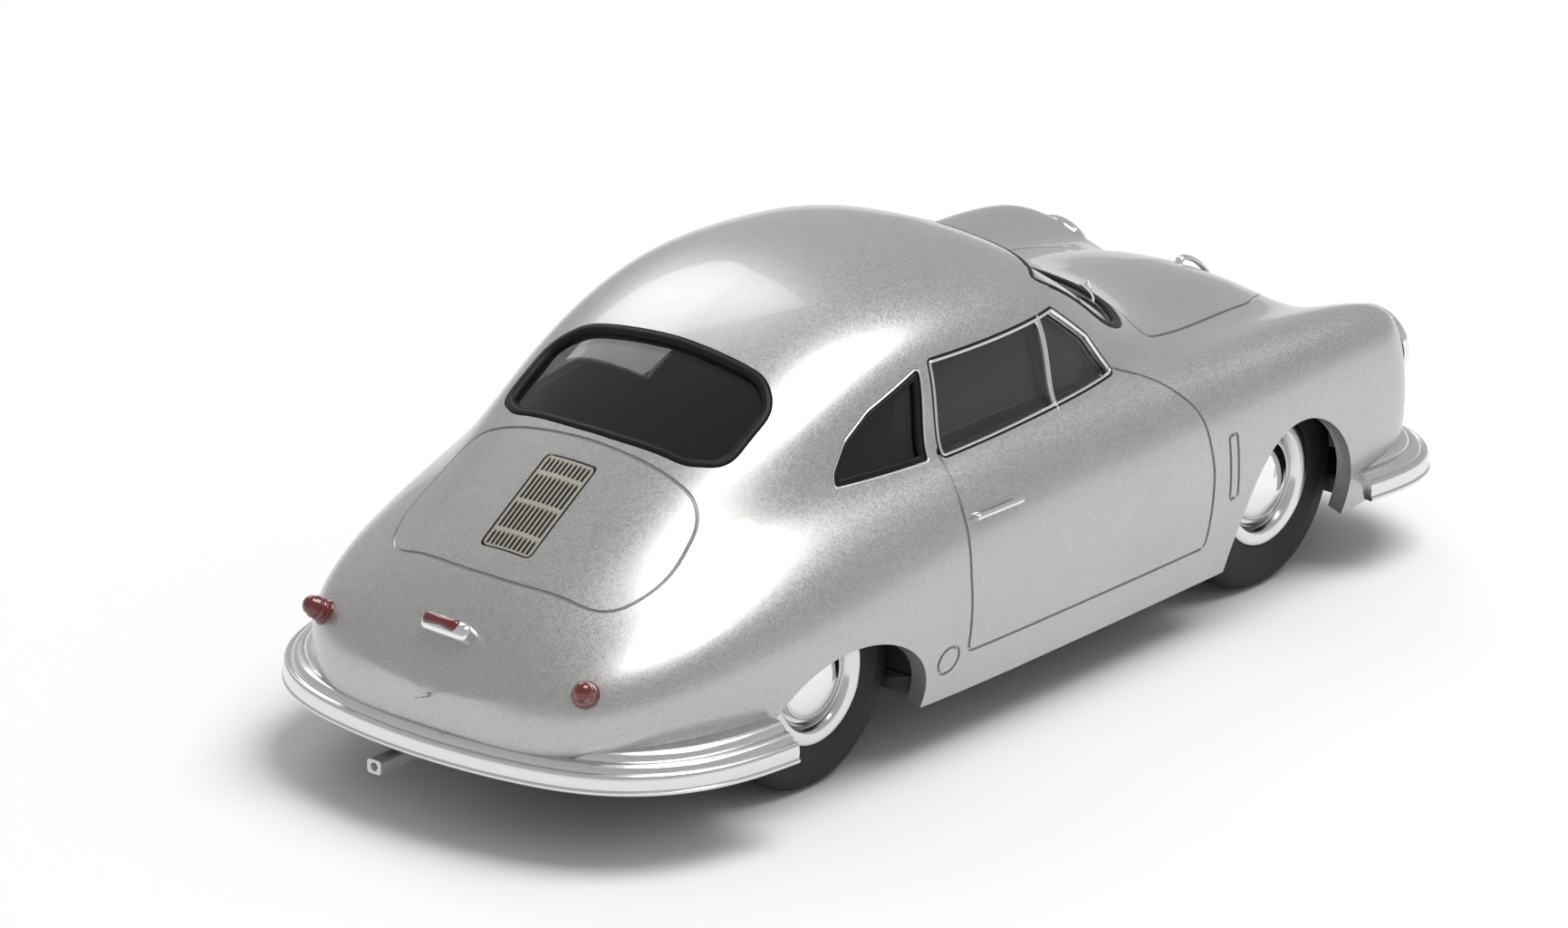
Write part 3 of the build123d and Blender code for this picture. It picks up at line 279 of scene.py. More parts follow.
def basis(count, places, degree=3):
    """Clamped uniform B-spline basis by the Cox-de Boor formula, one row per place."""
    knots = np.concatenate([np.zeros(degree), np.linspace(0, 1, count - degree + 1), np.ones(degree)])
    places = np.clip(np.asarray(places, float), 0, 1 - 1e-12)[:, None]
    table = ((places >= knots[:-1]) & (places < knots[1:])).astype(float)
    for p in range(1, degree + 1):
        rise, fall = knots[p:-1] - knots[:-p - 1], knots[p + 1:] - knots[1:-p]
        left = np.where(rise > 0, (places - knots[:-p - 1]) / np.where(rise > 0, rise, 1), 0)
        right = np.where(fall > 0, (knots[p + 1:] - places) / np.where(fall > 0, fall, 1), 0)
        table = left * table[:, :-1] + right * table[:, 1:]
    return table


NET_X, NET_YZ = control_net()


def skin(lengthwise, around):
    """Points of the left half: x = B(u) X and (y, z) = B(u) P B(v), sill at v = 0, roof at v = 1."""
    along, across = basis(len(NET_X), lengthwise), basis(NET_YZ.shape[1], around)
    yz = np.einsum("ik,kjc,lj->ilc", along, NET_YZ, across)
    x = np.broadcast_to((along @ NET_X)[:, None, None], yz.shape[:2] + (1,))
    return np.concatenate([x, yz], axis=2)


def outward(grid):
    """Unit normals of a skin grid, from its two directions crossed."""
    normal = np.cross(np.gradient(grid, axis=1), np.gradient(grid, axis=0))
    normal /= np.maximum(np.linalg.norm(normal, axis=2), 1e-9)[:, :, None]
    return normal


FINE = skin(np.linspace(0, 1, 640), np.linspace(0, 1, 260))
FINE_OUT = outward(FINE)
print("skin samples:", FINE.shape[:2], "tail and nose:", FINE[:, :, 0].min(), FINE[:, :, 0].max())


# %% [markdown]
# ## Laying outlines on the skin
# Windows, shut lines and trim follow flat outlines seen from the side, from above or from ahead.  To lay
# a point on the skin, the nearest sample gives the place and the tangent plane there gives the rest.

# %% Lay points on the skin
AXES = {"side": (0, 2), "plan": (0, 1), "front": (1, 2)}


def lay(flat, seen, side=1.0, low=(-99, -99, -99), high=(99, 99, 99), sink=0.0):
    """Flat points seen from the side (x, z), above (x, y) or ahead (y, z), put on the skin.
    The missing coordinate m solves n . (p - q) = 0 for the nearest sample q with normal n."""
    a, b = AXES[seen]
    missing = 3 - a - b
    flat = np.asarray(flat, float)
    signs = np.ones(flat.shape[0]) * side
    known = flat.copy()
    if seen != "side":
        column = 1 if seen == "plan" else 0
        signs = np.where(flat[:, column] < 0, -1.0, 1.0)
        known[:, column] = np.abs(known[:, column])
    inside = np.all((FINE > low) & (FINE < high), axis=2)
    samples, normals = FINE[inside], FINE_OUT[inside]
    place = np.concatenate([
        np.argmin((samples[:, a] - part[:, :1]) ** 2 + (samples[:, b] - part[:, 1:]) ** 2, axis=1)
        for part in np.array_split(known, max(1, len(known) // 40))])
    q, n = samples[place], normals[place]
    point = np.empty_like(q)
    point[:, a], point[:, b] = known[:, 0], known[:, 1]
    step = n[:, a] * (point[:, a] - q[:, a]) + n[:, b] * (point[:, b] - q[:, b])
    point[:, missing] = q[:, missing] - step / n[:, missing]
    point = point - sink * n
    flip = np.column_stack([np.ones(len(signs)), signs, np.ones(len(signs))])
    return point * flip, n * flip


# Regions of the skin that an outline may land on, as lowest and highest (x, y, z).
UPPER = {"low": (-99, -1, 9.0)}
SCREEN = {"low": (6.0, -1, 19.0), "high": (22.0, 99, 99)}
TAIL = {"high": (-30.0, 99, 99)}
NOSE = {"low": (30.0, -1, -99)}
BESIDE = {"low": (-30, -1, 18.0)}
FLANK = {"low": (-99, -1, 4.2)}

# Outlines with the radius at each corner: from the side (x, z), above (x, y) or ahead (y, z).
DOOR_WINDOW = [(-9.8, 20.2), (-8.4, 26.4), (5.8, 26.1), (8.8, 23.5), (10.3, 20.6)]
DOOR_PANE = [(-9.8, 20.2), (-8.4, 26.4), (3.85, 26.17), (2.7, 20.46)]
VENT_PANE = [(2.75, 20.46), (3.9, 26.17), (5.8, 26.1), (8.8, 23.5), (10.3, 20.6)]
WINDOW_RADIUS = 0.5
QUARTER_WINDOW = [(-10.7, 20.3), (-9.0, 26.3), (-14.7, 24.5), (-17.2, 23.1), (-18.9, 21.4),
                  (-19.3, 20.4)]
QUARTER_RADIUS = (0.5, 0.5, 4.0, 3.0, 1.5, 0.5)
REAR_WINDOW = [(-26.8, 7.5), (-25.2, 9.9), (-20.2, 9.9), (-18.7, 7.9), (-18.4, 0), (-18.7, -7.9),
               (-20.2, -9.9), (-25.2, -9.9), (-26.8, -7.5), (-27.4, 0)]
REAR_RADIUS = (3.3, 3.3, 3.3, 3.3, 60.0, 3.3, 3.3, 3.3, 3.3, 60.0)
WINDSCREEN = [(-12.9, 21.5), (0, 22.5), (12.9, 21.5), (10.8, 27.6), (0, 28.3), (-10.8, 27.6)]
SCREEN_RADIUS = (1.6, 9.0, 1.6, 1.6, 9.0, 1.6)
DOOR_LINE = [(-9.8, 20.9), (-9.8, 20.0), (-10.4, 17.5), (-10.7, 13.0), (-10.4, 7.4), (15.6, 7.2),
             (15.9, 13.0), (15.3, 17.0), (13.0, 19.7), (10.0, 20.9)]
DOOR_RADIUS = (0.5, 1.0, 6.0, 8.0, 0.6, 0.6, 8.0, 6.0, 5.0, 0.5)
LID_LINE = [(-27.9, 10.3), (-27.7, 0), (-27.9, -10.3), (-33.0, -11.2), (-37.2, -9.6), (-38.4, 0),
            (-37.2, 9.6), (-33.0, 11.2)]
LID_RADIUS = (2.2, 200.0, 2.2, 9.0, 3.4, 60.0, 3.4, 9.0)
BONNET_SIDE = [(17.3, 12.0), (25.7, 10.3), (33.0, 8.9), (38.2, 6.2), (40.6, 2.2)]
BONNET_LINE = [(19.0, 0), *BONNET_SIDE, *[(x, -y) for x, y in reversed(BONNET_SIDE)]]
BONNET_RADIUS = (6.0, 0.8, 9.0, 9.0, 6.0, 3.0, 3.0, 6.0, 9.0, 9.0, 0.8)
GRILLE_X, GRILLE_LENGTH, GRILLE_WIDTH = -32.8, 6.8, 4.1
GRILLE_GAP, GRILLE_CORNER = 0.17, 0.45
ARCHES = {"front": (26.0, 6.9, 13.6), "rear": (-21.84, 7.9, 10.9)}
JACK_X, JACK_Z, JACK_RADIUS = -12.3, 7.3, 1.0
SEMAPHORE = [(17.75, 10.2), (18.65, 10.2), (18.65, 14.8), (17.75, 14.8)]
LAMP_AXIS = np.array([1, 0, 0.2]) / np.hypot(1, 0.2)
LAMP_PLACE, LAMP_SINK, LAMP_RADIUS = (14.1, 14.3), 0.75, 2.75


# %% [markdown]
# ## The casting
# The body is a closed wall 1.2 mm thick: the outer skin, an inner skin moved inwards along the normals,
# and a strip along the sills.  The window openings and wheel arches are cut through it with prisms, and the
# shut lines are cut with a fine rounded profile that runs along each line, as an engraver's tool would.

# %% Wall of the body
def body_wall(lengthwise=300, outer=96, inner=26):
    """Grids of the whole wall: outer skin, inner skin q - WALL n and sill strip, left and right."""
    u = np.linspace(0, 1, lengthwise)
    outside, inside = skin(u, np.linspace(0, 1, outer)), skin(u, np.linspace(0, 1, inner))
    inside = inside - WALL * outward(inside)
    inside[:, :, 1] = np.maximum(inside[:, :, 1], 0)
    inside[:, -1, 1] = 0
    strip = np.stack([outside[:, 0], inside[:, 0]], axis=1)
    return [(grid * [1, side, 1], False, False) for side in SIDES.values()
            for grid in (outside, inside, strip)]


def prism(flat, seen, start, end):
    """A closed prism of an outline, between two places along the missing axis."""
    a, b = AXES[seen]
    points = np.zeros((2, len(flat), 3))
    points[:, :, a], points[:, :, b] = flat[:, 0], flat[:, 1]
    points[0, :, 3 - a - b], points[1, :, 3 - a - b] = start, end
    poles = points.mean(axis=1, keepdims=True) + np.zeros_like(points)
    return np.concatenate([poles[:1], points, poles[1:]])


def arch(centre, half_length, top, low=4.8):
    """Half an ellipse over straight legs: the outline of a wheel arch from the side."""
    turn = np.linspace(0, np.pi, 90)
    curve = np.column_stack([centre + half_length * np.cos(turn), low + (top - low) * np.sin(turn)])
    legs = np.array([[centre - half_length, -2.0], [centre + half_length, -2.0]])
    return evened(np.vstack([curve, legs]), 0.3)


def cut_with(piece, grids, name):
    """Takes the cutters out of a piece with an exact boolean, applied at once."""
    cutter = joined(name, grids)
    modifier = piece.modifiers.new(name, "BOOLEAN")
    modifier.operation, modifier.solver, modifier.object = "DIFFERENCE", "EXACT", cutter
    graph = bpy.context.evaluated_depsgraph_get()
    result = bpy.data.meshes.new_from_object(piece.evaluated_get(graph))
    piece.modifiers.clear()
    piece.data = result
    bpy.data.objects.remove(cutter)
    return piece


def opening(outline, seen, start, end):
    """The prism of an outline, as a grid that closes on itself round the outline."""
    return prism(outline, seen, start, end), False, True


body_skin = joined("body_skin", body_wall())
openings = []
for side in SIDES.values():
    for outline in (*(arch(*sizes) for sizes in ARCHES.values()), rounded(DOOR_WINDOW, WINDOW_RADIUS),
                    rounded(QUARTER_WINDOW, QUARTER_RADIUS)):
        openings.append(opening(outline, "side", 11.0 * side, 24.0 * side))
half_length, half_width = GRILLE_LENGTH / 2 + GRILLE_GAP, GRILLE_WIDTH / 2 + GRILLE_GAP
grille_hole = [(GRILLE_X + sx * half_length, sy * half_width)
               for sx, sy in ((-1, -1), (1, -1), (1, 1), (-1, 1))]
openings.append(opening(rounded(REAR_WINDOW, REAR_RADIUS), "plan", 17.0, 40.0))
openings.append(opening(rounded(grille_hole, GRILLE_CORNER), "plan", 14.0, 40.0))
openings.append(opening(rounded(WINDSCREEN, SCREEN_RADIUS), "front", 7.5, 30.0))
lamp_seats = {}
well_radius, well_depth = LAMP_RADIUS + 0.02, 2.6
for name, side in SIDES.items():
    skin_point = lay([(LAMP_PLACE[0] * side, LAMP_PLACE[1])], "front", **NOSE)[0][0]
    lamp_seats[name] = skin_point + (0.1 - LAMP_SINK) * LAMP_AXIS
    well = [(0, -well_depth), (well_radius, -well_depth), (well_radius, 4.0), (0, 4.0)]
    openings.append((lathe(well, lamp_seats[name], LAMP_AXIS, 72), True, False))
cut_with(body_skin, openings, "openings")
print("body after openings:", len(body_skin.data.polygons), "faces")

# %% Shut lines
GROOVE_WIDTH, GROOVE_DEPTH = 0.26, 0.24
GROOVE_HALF = [(0.38, -0.75 * GROOVE_DEPTH), (0.5, -0.02), (0.62, 0.35)]
GROOVE = [*[(-a * GROOVE_WIDTH, b) for a, b in reversed(GROOVE_HALF)], (0, -GROOVE_DEPTH),
          *[(a * GROOVE_WIDTH, b) for a, b in GROOVE_HALF]]


def groove(outline, seen, side=1.0, **region):
    """The engraver's profile carried along an outline laid on the skin."""
    path, normals = lay(outline, seen, side, **region)
    return carried(path, normals, GROOVE), True, True


turn = np.linspace(0, 2 * np.pi, 48, endpoint=False)
jack_disc = np.array([JACK_X, JACK_Z]) + JACK_RADIUS * np.column_stack([np.cos(turn), np.sin(turn)])
grooves = []
for side in SIDES.values():
    for outline in (rounded(DOOR_LINE, DOOR_RADIUS), jack_disc, rounded(SEMAPHORE, 0.2)):
        grooves.append(groove(outline, "side", side, **FLANK))
grooves.append(groove(rounded(LID_LINE, LID_RADIUS), "plan", **UPPER))
grooves.append(groove(rounded(BONNET_LINE, BONNET_RADIUS), "plan", **UPPER))
cut_with(body_skin, grooves, "shut_lines")
print("body after shut lines:", len(body_skin.data.polygons), "faces")


# %% [markdown]
# ## True normals for the skin
# Cutting leaves thin triangles whose averaged normals would show as dents in a glossy reflection.  The
# formula knows the true normal everywhere, so every corner that lies on the outer skin is given it.

# %% Custom normals from the formula
def skin_normals(points, chunk=6000):
    """Distance to the outer skin and its normal, for points in millimetres.  x fixes u, because the
    station place depends on u alone, and the nearest sample of that section fixes v."""
    u = np.linspace(0, 1, 4000)
    station = basis(len(NET_X), u) @ NET_X
    v = np.linspace(0, 1, 401)
    across = basis(NET_YZ.shape[1], v).astype(np.float32)
    tilt = np.gradient(across, v, axis=0)
    distance, normal = [], []
    for part in np.array_split(points, max(1, len(points) // chunk)):
        sign = np.where(part[:, 1] < 0, -1.0, 1.0)
        place = np.interp(part[:, 0], station, u)
        ahead, behind = np.clip(place + 2e-4, 0, 1), np.clip(place - 2e-4, 0, 1)
        rows = np.einsum("ik,kjc->ijc", basis(len(NET_X), place), NET_YZ).astype(np.float32)
        section = np.einsum("ijc,lj->ilc", rows, across)
        gap = (section[:, :, 0] - np.abs(part[:, 1:2])) ** 2 + (section[:, :, 1] - part[:, 2:3]) ** 2
        best = np.argmin(gap, axis=1)
        distance.append(np.sqrt(gap[np.arange(len(part)), best]))
        step = basis(len(NET_X), ahead) - basis(len(NET_X), behind)
        lengthwise = np.column_stack([
            step @ NET_X, np.einsum("ik,kjc,ij->ic", step, NET_YZ, across[best].astype(float))])
        around = np.column_stack([np.zeros(len(part)), np.einsum("ijc,ij->ic", rows, tilt[best])])
        n = np.cross(around, lengthwise)
        n /= np.maximum(np.linalg.norm(n, axis=1), 1e-12)[:, None]
        normal.append(n * np.column_stack([np.ones(len(part)), sign, np.ones(len(part))]))
    return np.concatenate(distance), np.concatenate(normal)


def give_skin_normals(piece, near=0.06, lean=0.75):
    """Corners on the outer skin get the formula's normal.  The rest keep their smoothed ones."""
    mesh = piece.data
    mesh.shade_smooth()
    mesh.set_sharp_from_angle(angle=0.5)
    count = len(mesh.vertices)
    points = np.empty(count * 3, np.float32)
    mesh.vertices.foreach_get("co", points)
    distance, normal = skin_normals(points.reshape(-1, 3).astype(float) / MM)
    corner = np.empty(len(mesh.loops), np.int32)
    mesh.loops.foreach_get("vertex_index", corner)
    face_normal = np.empty(len(mesh.polygons) * 3, np.float32)
    mesh.polygons.foreach_get("normal", face_normal)
    size = np.empty(len(mesh.polygons), np.int32)
    mesh.polygons.foreach_get("loop_total", size)
    of_face = np.repeat(face_normal.reshape(-1, 3), size, axis=0)
    wanted = normal[corner]
    on_skin = (distance[corner] < near) & ((of_face * wanted).sum(1) > lean)
    mesh.normals_split_custom_set(np.where(on_skin[:, None], wanted, 0.0).tolist())
    print(piece.name, "corners on the skin:", int(on_skin.sum()), "of", len(on_skin))


give_skin_normals(body_skin)


# %% [markdown]
# ## Shared effects
# Three effects turn up in several finishes, so each is a node group that is built once: fine flakes in the
# lacquer, faint handling marks on bright metal, and the grain of moulded plastic and rubber with its dust.
# They put out colours, values and normals only, and the shader itself stays in each material.

# %% Node group helpers
def group(name, inputs, outputs):
    """An empty shader node group with named sockets: inputs are (name, kind, value)."""
    tree = bpy.data.node_groups.new(name, "ShaderNodeTree")
    for label, kind, value in inputs:
        socket = tree.interface.new_socket(label, in_out="INPUT", socket_type="NodeSocket" + kind)
        socket.default_value = value
    for label, kind in outputs:
        tree.interface.new_socket(label, in_out="OUTPUT", socket_type="NodeSocket" + kind)
    return tree, tree.nodes.new("NodeGroupInput"), tree.nodes.new("NodeGroupOutput")


def node(tree, kind, links=None, **settings):
    """A node with its settings, and its inputs linked from sockets or set to values."""
    made = tree.nodes.new("ShaderNode" + kind)
    for key, value in settings.items():
        setattr(made, key, value)
    for key, value in (links or {}).items():
        if isinstance(value, bpy.types.NodeSocket):
            tree.links.new(value, made.inputs[key])
        else:
            made.inputs[key].default_value = value
    return made


def math_node(tree, operation, a, b):
    """The value socket of one sum, product or the like."""
    return node(tree, "Math", {0: a, 1: b}, operation=operation).outputs[0]


def varied(tree, middle, wave, amount):
    """middle + (wave - 0.5) * amount, as a value socket."""
    centred = math_node(tree, "SUBTRACT", wave, 0.5)
    return math_node(tree, "ADD", math_node(tree, "MULTIPLY", centred, amount), middle)


SURFACE = [("Colour", "Color"), ("Roughness", "Float"), ("Normal", "Vector")]


def put_out(tree, out, colour, rough, normal):
    """Links an effect's colour, roughness and normal to its outputs and hands the group back."""
    for (label, _), source in zip(SURFACE, (colour, rough, normal)):
        tree.links.new(source, out.inputs[label])
    return tree


# %% Effects
def make_flakes():
    """Metallic lacquer: cells about 0.1 mm across differ in brightness, roughness and tilt, over a
    slight orange peel about 1 mm across."""
    tree, given, out = group("lacquer flakes", [
        ("Colour", "Color", (0.6, 0.6, 0.6, 1)), ("Roughness", "Float", 0.35),
        ("Cells per metre", "Float", 9000.0), ("Sparkle", "Float", 0.25), ("Peel", "Float", 0.05)], SURFACE)
    place = node(tree, "TexCoord").outputs["Object"]
    cells = node(tree, "TexVoronoi", {"Vector": place, "Scale": given.outputs["Cells per metre"]})
    tone = node(tree, "SeparateColor", {0: cells.outputs["Color"]}).outputs[0]
    cloud = node(tree, "TexNoise", {"Vector": place, "Scale": 160.0, "Detail": 3.0}).outputs[0]
    light = varied(tree, 1.0, tone, given.outputs["Sparkle"])
    light = math_node(tree, "MULTIPLY", light, varied(tree, 1.0, cloud, 0.10))
    colour = node(tree, "VectorMath", {0: given.outputs["Colour"], "Scale": light}, operation="SCALE")
    rough = varied(tree, given.outputs["Roughness"], tone, 0.12)
    peel = node(tree, "TexNoise", {"Vector": place, "Scale": 900.0, "Detail": 1.0}).outputs[0]
    smooth = node(tree, "Bump", {"Strength": given.outputs["Peel"], "Distance": 0.0002, "Height": peel})
    grain = node(tree, "Bump", {"Strength": math_node(tree, "MULTIPLY", given.outputs["Sparkle"], 0.5),
                                "Distance": 0.00001, "Height": tone, "Normal": smooth.outputs[0]})
    return put_out(tree, out, colour.outputs[0], rough, grain.outputs[0])


def make_marks():
    """Handling marks: stretched noise for hairlines and a soft cloud for smears vary the roughness."""
    tree, given, out = group("handling marks", [
        ("Colour", "Color", (0.8, 0.8, 0.8, 1)), ("Roughness", "Float", 0.1), ("Amount", "Float", 0.1),
        ("Stretch", "Vector", (1.0, 1.0, 6.0)), ("Scale", "Float", 600.0)], SURFACE)
    place = node(tree, "TexCoord").outputs["Object"]
    drawn = node(tree, "VectorMath", {0: place, 1: given.outputs["Stretch"]}, operation="MULTIPLY")
    lines = node(tree, "TexNoise", {
        "Vector": drawn.outputs[0], "Scale": given.outputs["Scale"], "Detail": 4.0}).outputs[0]
    cloud = node(tree, "TexNoise", {"Vector": place, "Scale": 220.0, "Detail": 2.0}).outputs[0]
    both = math_node(tree, "MULTIPLY", math_node(tree, "ADD", lines, cloud), 0.5)
    rough = varied(tree, given.outputs["Roughness"], both, given.outputs["Amount"])
    tone = varied(tree, 1.0, both, math_node(tree, "MULTIPLY", given.outputs["Amount"], 0.6))
    colour = node(tree, "VectorMath", {0: given.outputs["Colour"], "Scale": tone}, operation="SCALE")
    bump = node(tree, "Bump", {"Strength": math_node(tree, "MULTIPLY", given.outputs["Amount"], 0.4),
                               "Distance": 0.00002, "Height": lines})
    return put_out(tree, out, colour.outputs[0], rough, bump.outputs[0])


def make_grain():
    """Moulded grain with dust: fine cells give the bump, and faces that look up gather a little dust."""
    tree, given, out = group("moulded grain", [
        ("Colour", "Color", (0.05, 0.05, 0.05, 1)), ("Roughness", "Float", 0.5),
        ("Grains per metre", "Float", 6000.0), ("Depth", "Float", 0.2), ("Dust", "Float", 0.1)], SURFACE)
    place = node(tree, "TexCoord").outputs["Object"]
    cells = node(tree, "TexNoise", {
        "Vector": place, "Scale": given.outputs["Grains per metre"], "Detail": 2.0}).outputs[0]
    up = node(tree, "SeparateXYZ", {0: node(tree, "NewGeometry").outputs["Normal"]}).outputs[2]
    patch = node(tree, "TexNoise", {"Vector": place, "Scale": 350.0, "Detail": 5.0}).outputs[0]
    share = math_node(tree, "MULTIPLY", math_node(tree, "MAXIMUM", up, 0.0), patch)
    share = math_node(tree, "MULTIPLY", share, given.outputs["Dust"])
    colour = node(tree, "Mix", data_type="RGBA")
    tree.links.new(share, colour.inputs[0])
    tree.links.new(given.outputs["Colour"], colour.inputs[6])
    colour.inputs[7].default_value = (0.42, 0.40, 0.37, 1)
    rough = varied(tree, given.outputs["Roughness"], patch, 0.15)
    bump = node(tree, "Bump", {"Strength": given.outputs["Depth"], "Distance": 0.00005, "Height": cells})
    return put_out(tree, out, colour.outputs[2], rough, bump.outputs[0])


FLAKES, MARKS, GRAIN = make_flakes(), make_marks(), make_grain()
print("effects:", [tree.name for tree in (FLAKES, MARKS, GRAIN)])


# %% [markdown]
# ## Finishes
# A finish is one shader with one effect.  What is the same all over, such as how metallic it is, is set on
# the shader itself.  What changes over the surface comes from the effect.

# %% Make a finish
def finish_of(name, effect, effect_values, linked=("Base Color", "Roughness", "Normal"), **shader_values):
    """A material whose effect feeds the shader's colour, roughness and normal."""
    material = bpy.data.materials.new(name)
    material.use_nodes = True
    tree = material.node_tree
    shader = tree.nodes["Principled BSDF"]
    for key, value in shader_values.items():
        shader.inputs[key.replace("_", " ")].default_value = value
    used = tree.nodes.new("ShaderNodeGroup")
    used.node_tree = effect
    for key, value in effect_values.items():
        used.inputs[key].default_value = value
    for socket in linked:
        source = "Colour" if socket == "Base Color" else socket
        tree.links.new(used.outputs[source], shader.inputs[socket])
    return material


def grey(r, g=None, b=None):
    """An opaque colour; one number alone gives a neutral grey."""
    return (r, r if g is None else g, r if b is None else b, 1.0)


def metal(name, colour, rough, amount, metallic=1.0, scale=600.0):
    """Bare or plated metal with handling marks."""
    return finish_of(name, MARKS, {"Colour": colour, "Roughness": rough, "Amount": amount,
                                   "Scale": scale}, Metallic=metallic)


def moulded(name, colour, rough, grains, depth, dust, **shader_values):
    """Moulded plastic or rubber with its grain and dust."""
    return finish_of(name, GRAIN, {"Colour": colour, "Roughness": rough, "Grains per metre": grains,
                                   "Depth": depth, "Dust": dust}, **shader_values)


def clear(name, colour, rough):
    """Clear glazing; its colour tints what is seen through it, and for the windows that tint is painted shade."""
    return finish_of(name, MARKS, {"Colour": colour, "Roughness": rough, "Amount": 0.03},
                     linked=("Base Color", "Roughness"), Transmission_Weight=1.0, IOR=1.45)


LENS = {"Coat_Weight": 1.0, "Coat_Roughness": 0.03, "IOR": 1.49}
SILVER = finish_of("silver lacquer", FLAKES, {
    "Colour": grey(0.50, 0.495, 0.485), "Roughness": 0.36, "Cells per metre": 10000.0,
    "Sparkle": 0.2, "Peel": 0.03}, Metallic=0.85, Coat_Weight=0.55, Coat_Roughness=0.06)
CHROME = metal("chrome plate", grey(0.83, 0.84, 0.86), 0.09, 0.08)
BUMPER_CHROME = metal("bumper plating", grey(0.74, 0.75, 0.77), 0.2, 0.14)
MIRROR = metal("hub cap polish", grey(0.88, 0.88, 0.87), 0.04, 0.04)
RIM = metal("rim polish", grey(0.72, 0.73, 0.74), 0.18, 0.12)
NICKEL = metal("etched nickel", grey(0.64, 0.60, 0.53), 0.34, 0.2, scale=2500.0)
STEEL = metal("turned steel", grey(0.56, 0.56, 0.57), 0.28, 0.25)
EXHAUST = metal("cast white metal", grey(0.66, 0.66, 0.65), 0.42, 0.3, metallic=0.7)
TYRE = moulded("tyre rubber", grey(0.009), 0.62, 5000.0, 0.25, 0.04)
SEAL = moulded("seal rubber", grey(0.003), 0.45, 9000.0, 0.08, 0.006, Specular_IOR_Level=0.25)
CHASSIS = moulded("chassis plastic", grey(0.02), 0.55, 6000.0, 0.3, 0.08)
CABIN = moulded("cabin plastic", grey(0.025, 0.023, 0.022), 0.6, 4000.0, 0.3, 0.08)
SEATS = moulded("seat plastic", grey(0.055, 0.03, 0.025), 0.5, 3500.0, 0.3, 0.05)
CONTROLS = moulded("ivory plastic", grey(0.55, 0.52, 0.44), 0.3, 6000.0, 0.05, 0.03)
DARK = moulded("grille shadow", grey(0.006), 0.7, 6000.0, 0.2, 0.02)
RED = moulded("red lens", grey(0.14, 0.003, 0.002), 0.12, 2500.0, 0.05, 0.0,
              Transmission_Weight=0.1, **LENS)
AMBER = moulded("amber lens", grey(0.75, 0.26, 0.03), 0.12, 2500.0, 0.05, 0.0,
                Transmission_Weight=0.35, **LENS)
# Painted shade: the windows' grey 0.34 colour darkens the cabin seen through glass that is nearly clear.
SHADE_TINTED_GLASS = clear("window glass with painted shade tint", grey(0.34, 0.34, 0.33), 0.02)
LAMP = clear("lamp glass", grey(0.93, 0.95, 0.95), 0.03)
finish_piece(body_skin, SILVER, stands_for=("body_shell",))


# %% [markdown]
# ## Windows
# Each pane is a shallow shell that follows the body 0.45 mm under its skin.  It is laid as rings that grow
# from the middle of the opening to its edge, so it has the body's curve in both directions.

# %% Panes
PANE_SINK, PANE_THICK, PANE_RINGS = 0.45, 0.5, 14


def pane(name, corners, radius, seen, side=1.0, stands_for=(), grow=0.05, **region):
    """Outer face at share s of the way from the middle to the outline, then back along the inner face."""
    outline = rounded(corners, radius, 0.4)
    middle = outline.mean(axis=0)
    share = np.concatenate([np.linspace(0, 1, PANE_RINGS), np.linspace(1, 0, PANE_RINGS)])
    reach = np.linalg.norm(outline - middle, axis=1)
    grown = middle + (outline - middle) * (1 + grow / reach)[:, None]
    flat = middle + share[:, None, None] * (grown - middle)
    count = flat.shape[1]
    sink = np.repeat([PANE_SINK, PANE_SINK + PANE_THICK], PANE_RINGS * count)[:, None]
    points, normals = lay(flat.reshape(-1, 2), seen, side, **region)
    grid = (points - sink * normals).reshape(2 * PANE_RINGS, count, 3)
    piece = surface(name, grid, wrap_columns=True)
    return finish_piece(piece, SHADE_TINTED_GLASS, stands_for=stands_for)


pane("windscreen_pane", WINDSCREEN, SCREEN_RADIUS, "front", stands_for=("windscreen_glass",), **SCREEN)
pane("rear_pane", REAR_WINDOW, REAR_RADIUS, "plan", stands_for=("rear_window_glass",), **UPPER)
for name, side in SIDES.items():
    for kind, corners, radius in (
            ("door", DOOR_PANE, 0.3), ("vent", VENT_PANE, 0.3), ("quarter", QUARTER_WINDOW, QUARTER_RADIUS)):
        pane(f"{kind}_pane_{name}", corners, radius, "side", side, (f"{kind}_glass_{name}",), **BESIDE)


# %% [markdown]
# ## Seals and bright frames
# The windscreen and the rear window sit in thick black rubber, and the side windows in a thin
# bright strip with rubber outside it.  Each is a rounded section carried along the opening's outline.

# %% Seals and frames
def bead(name, corners, radius, seen, section, material, slot, side=1.0, stands_for=(), **region):
    """A closed section (across, up) carried along an outline; positive across points out of the opening."""
    path, normals = lay(rounded(corners, radius), seen, side, **region)
    turning = np.cross(np.roll(path, -1, axis=0) - path, path.mean(axis=0) - path)
    inwards = 1.0 if (turning * normals).sum() > 0 else -1.0
    profile = np.asarray(section, float) * [-inwards, 1]
    piece = surface(name, carried(path, normals, profile), True, True, sharp_angle=0.9)
    return finish_piece(piece, material, stands_for=stands_for)


def half_round(outer, inner, base, crest, steps=9):
    """Rounded section from across = outer to across = inner, flat at base and highest at crest."""
    turn = np.linspace(0, np.pi, steps)
    middle, half = (outer + inner) / 2, (outer - inner) / 2
    arc = np.column_stack([middle + half * np.cos(turn), base + (crest - base) * np.sin(turn) ** 0.7])
    return np.vstack([[(outer, base - 0.1)], arc, [(inner, base - 0.1)]])


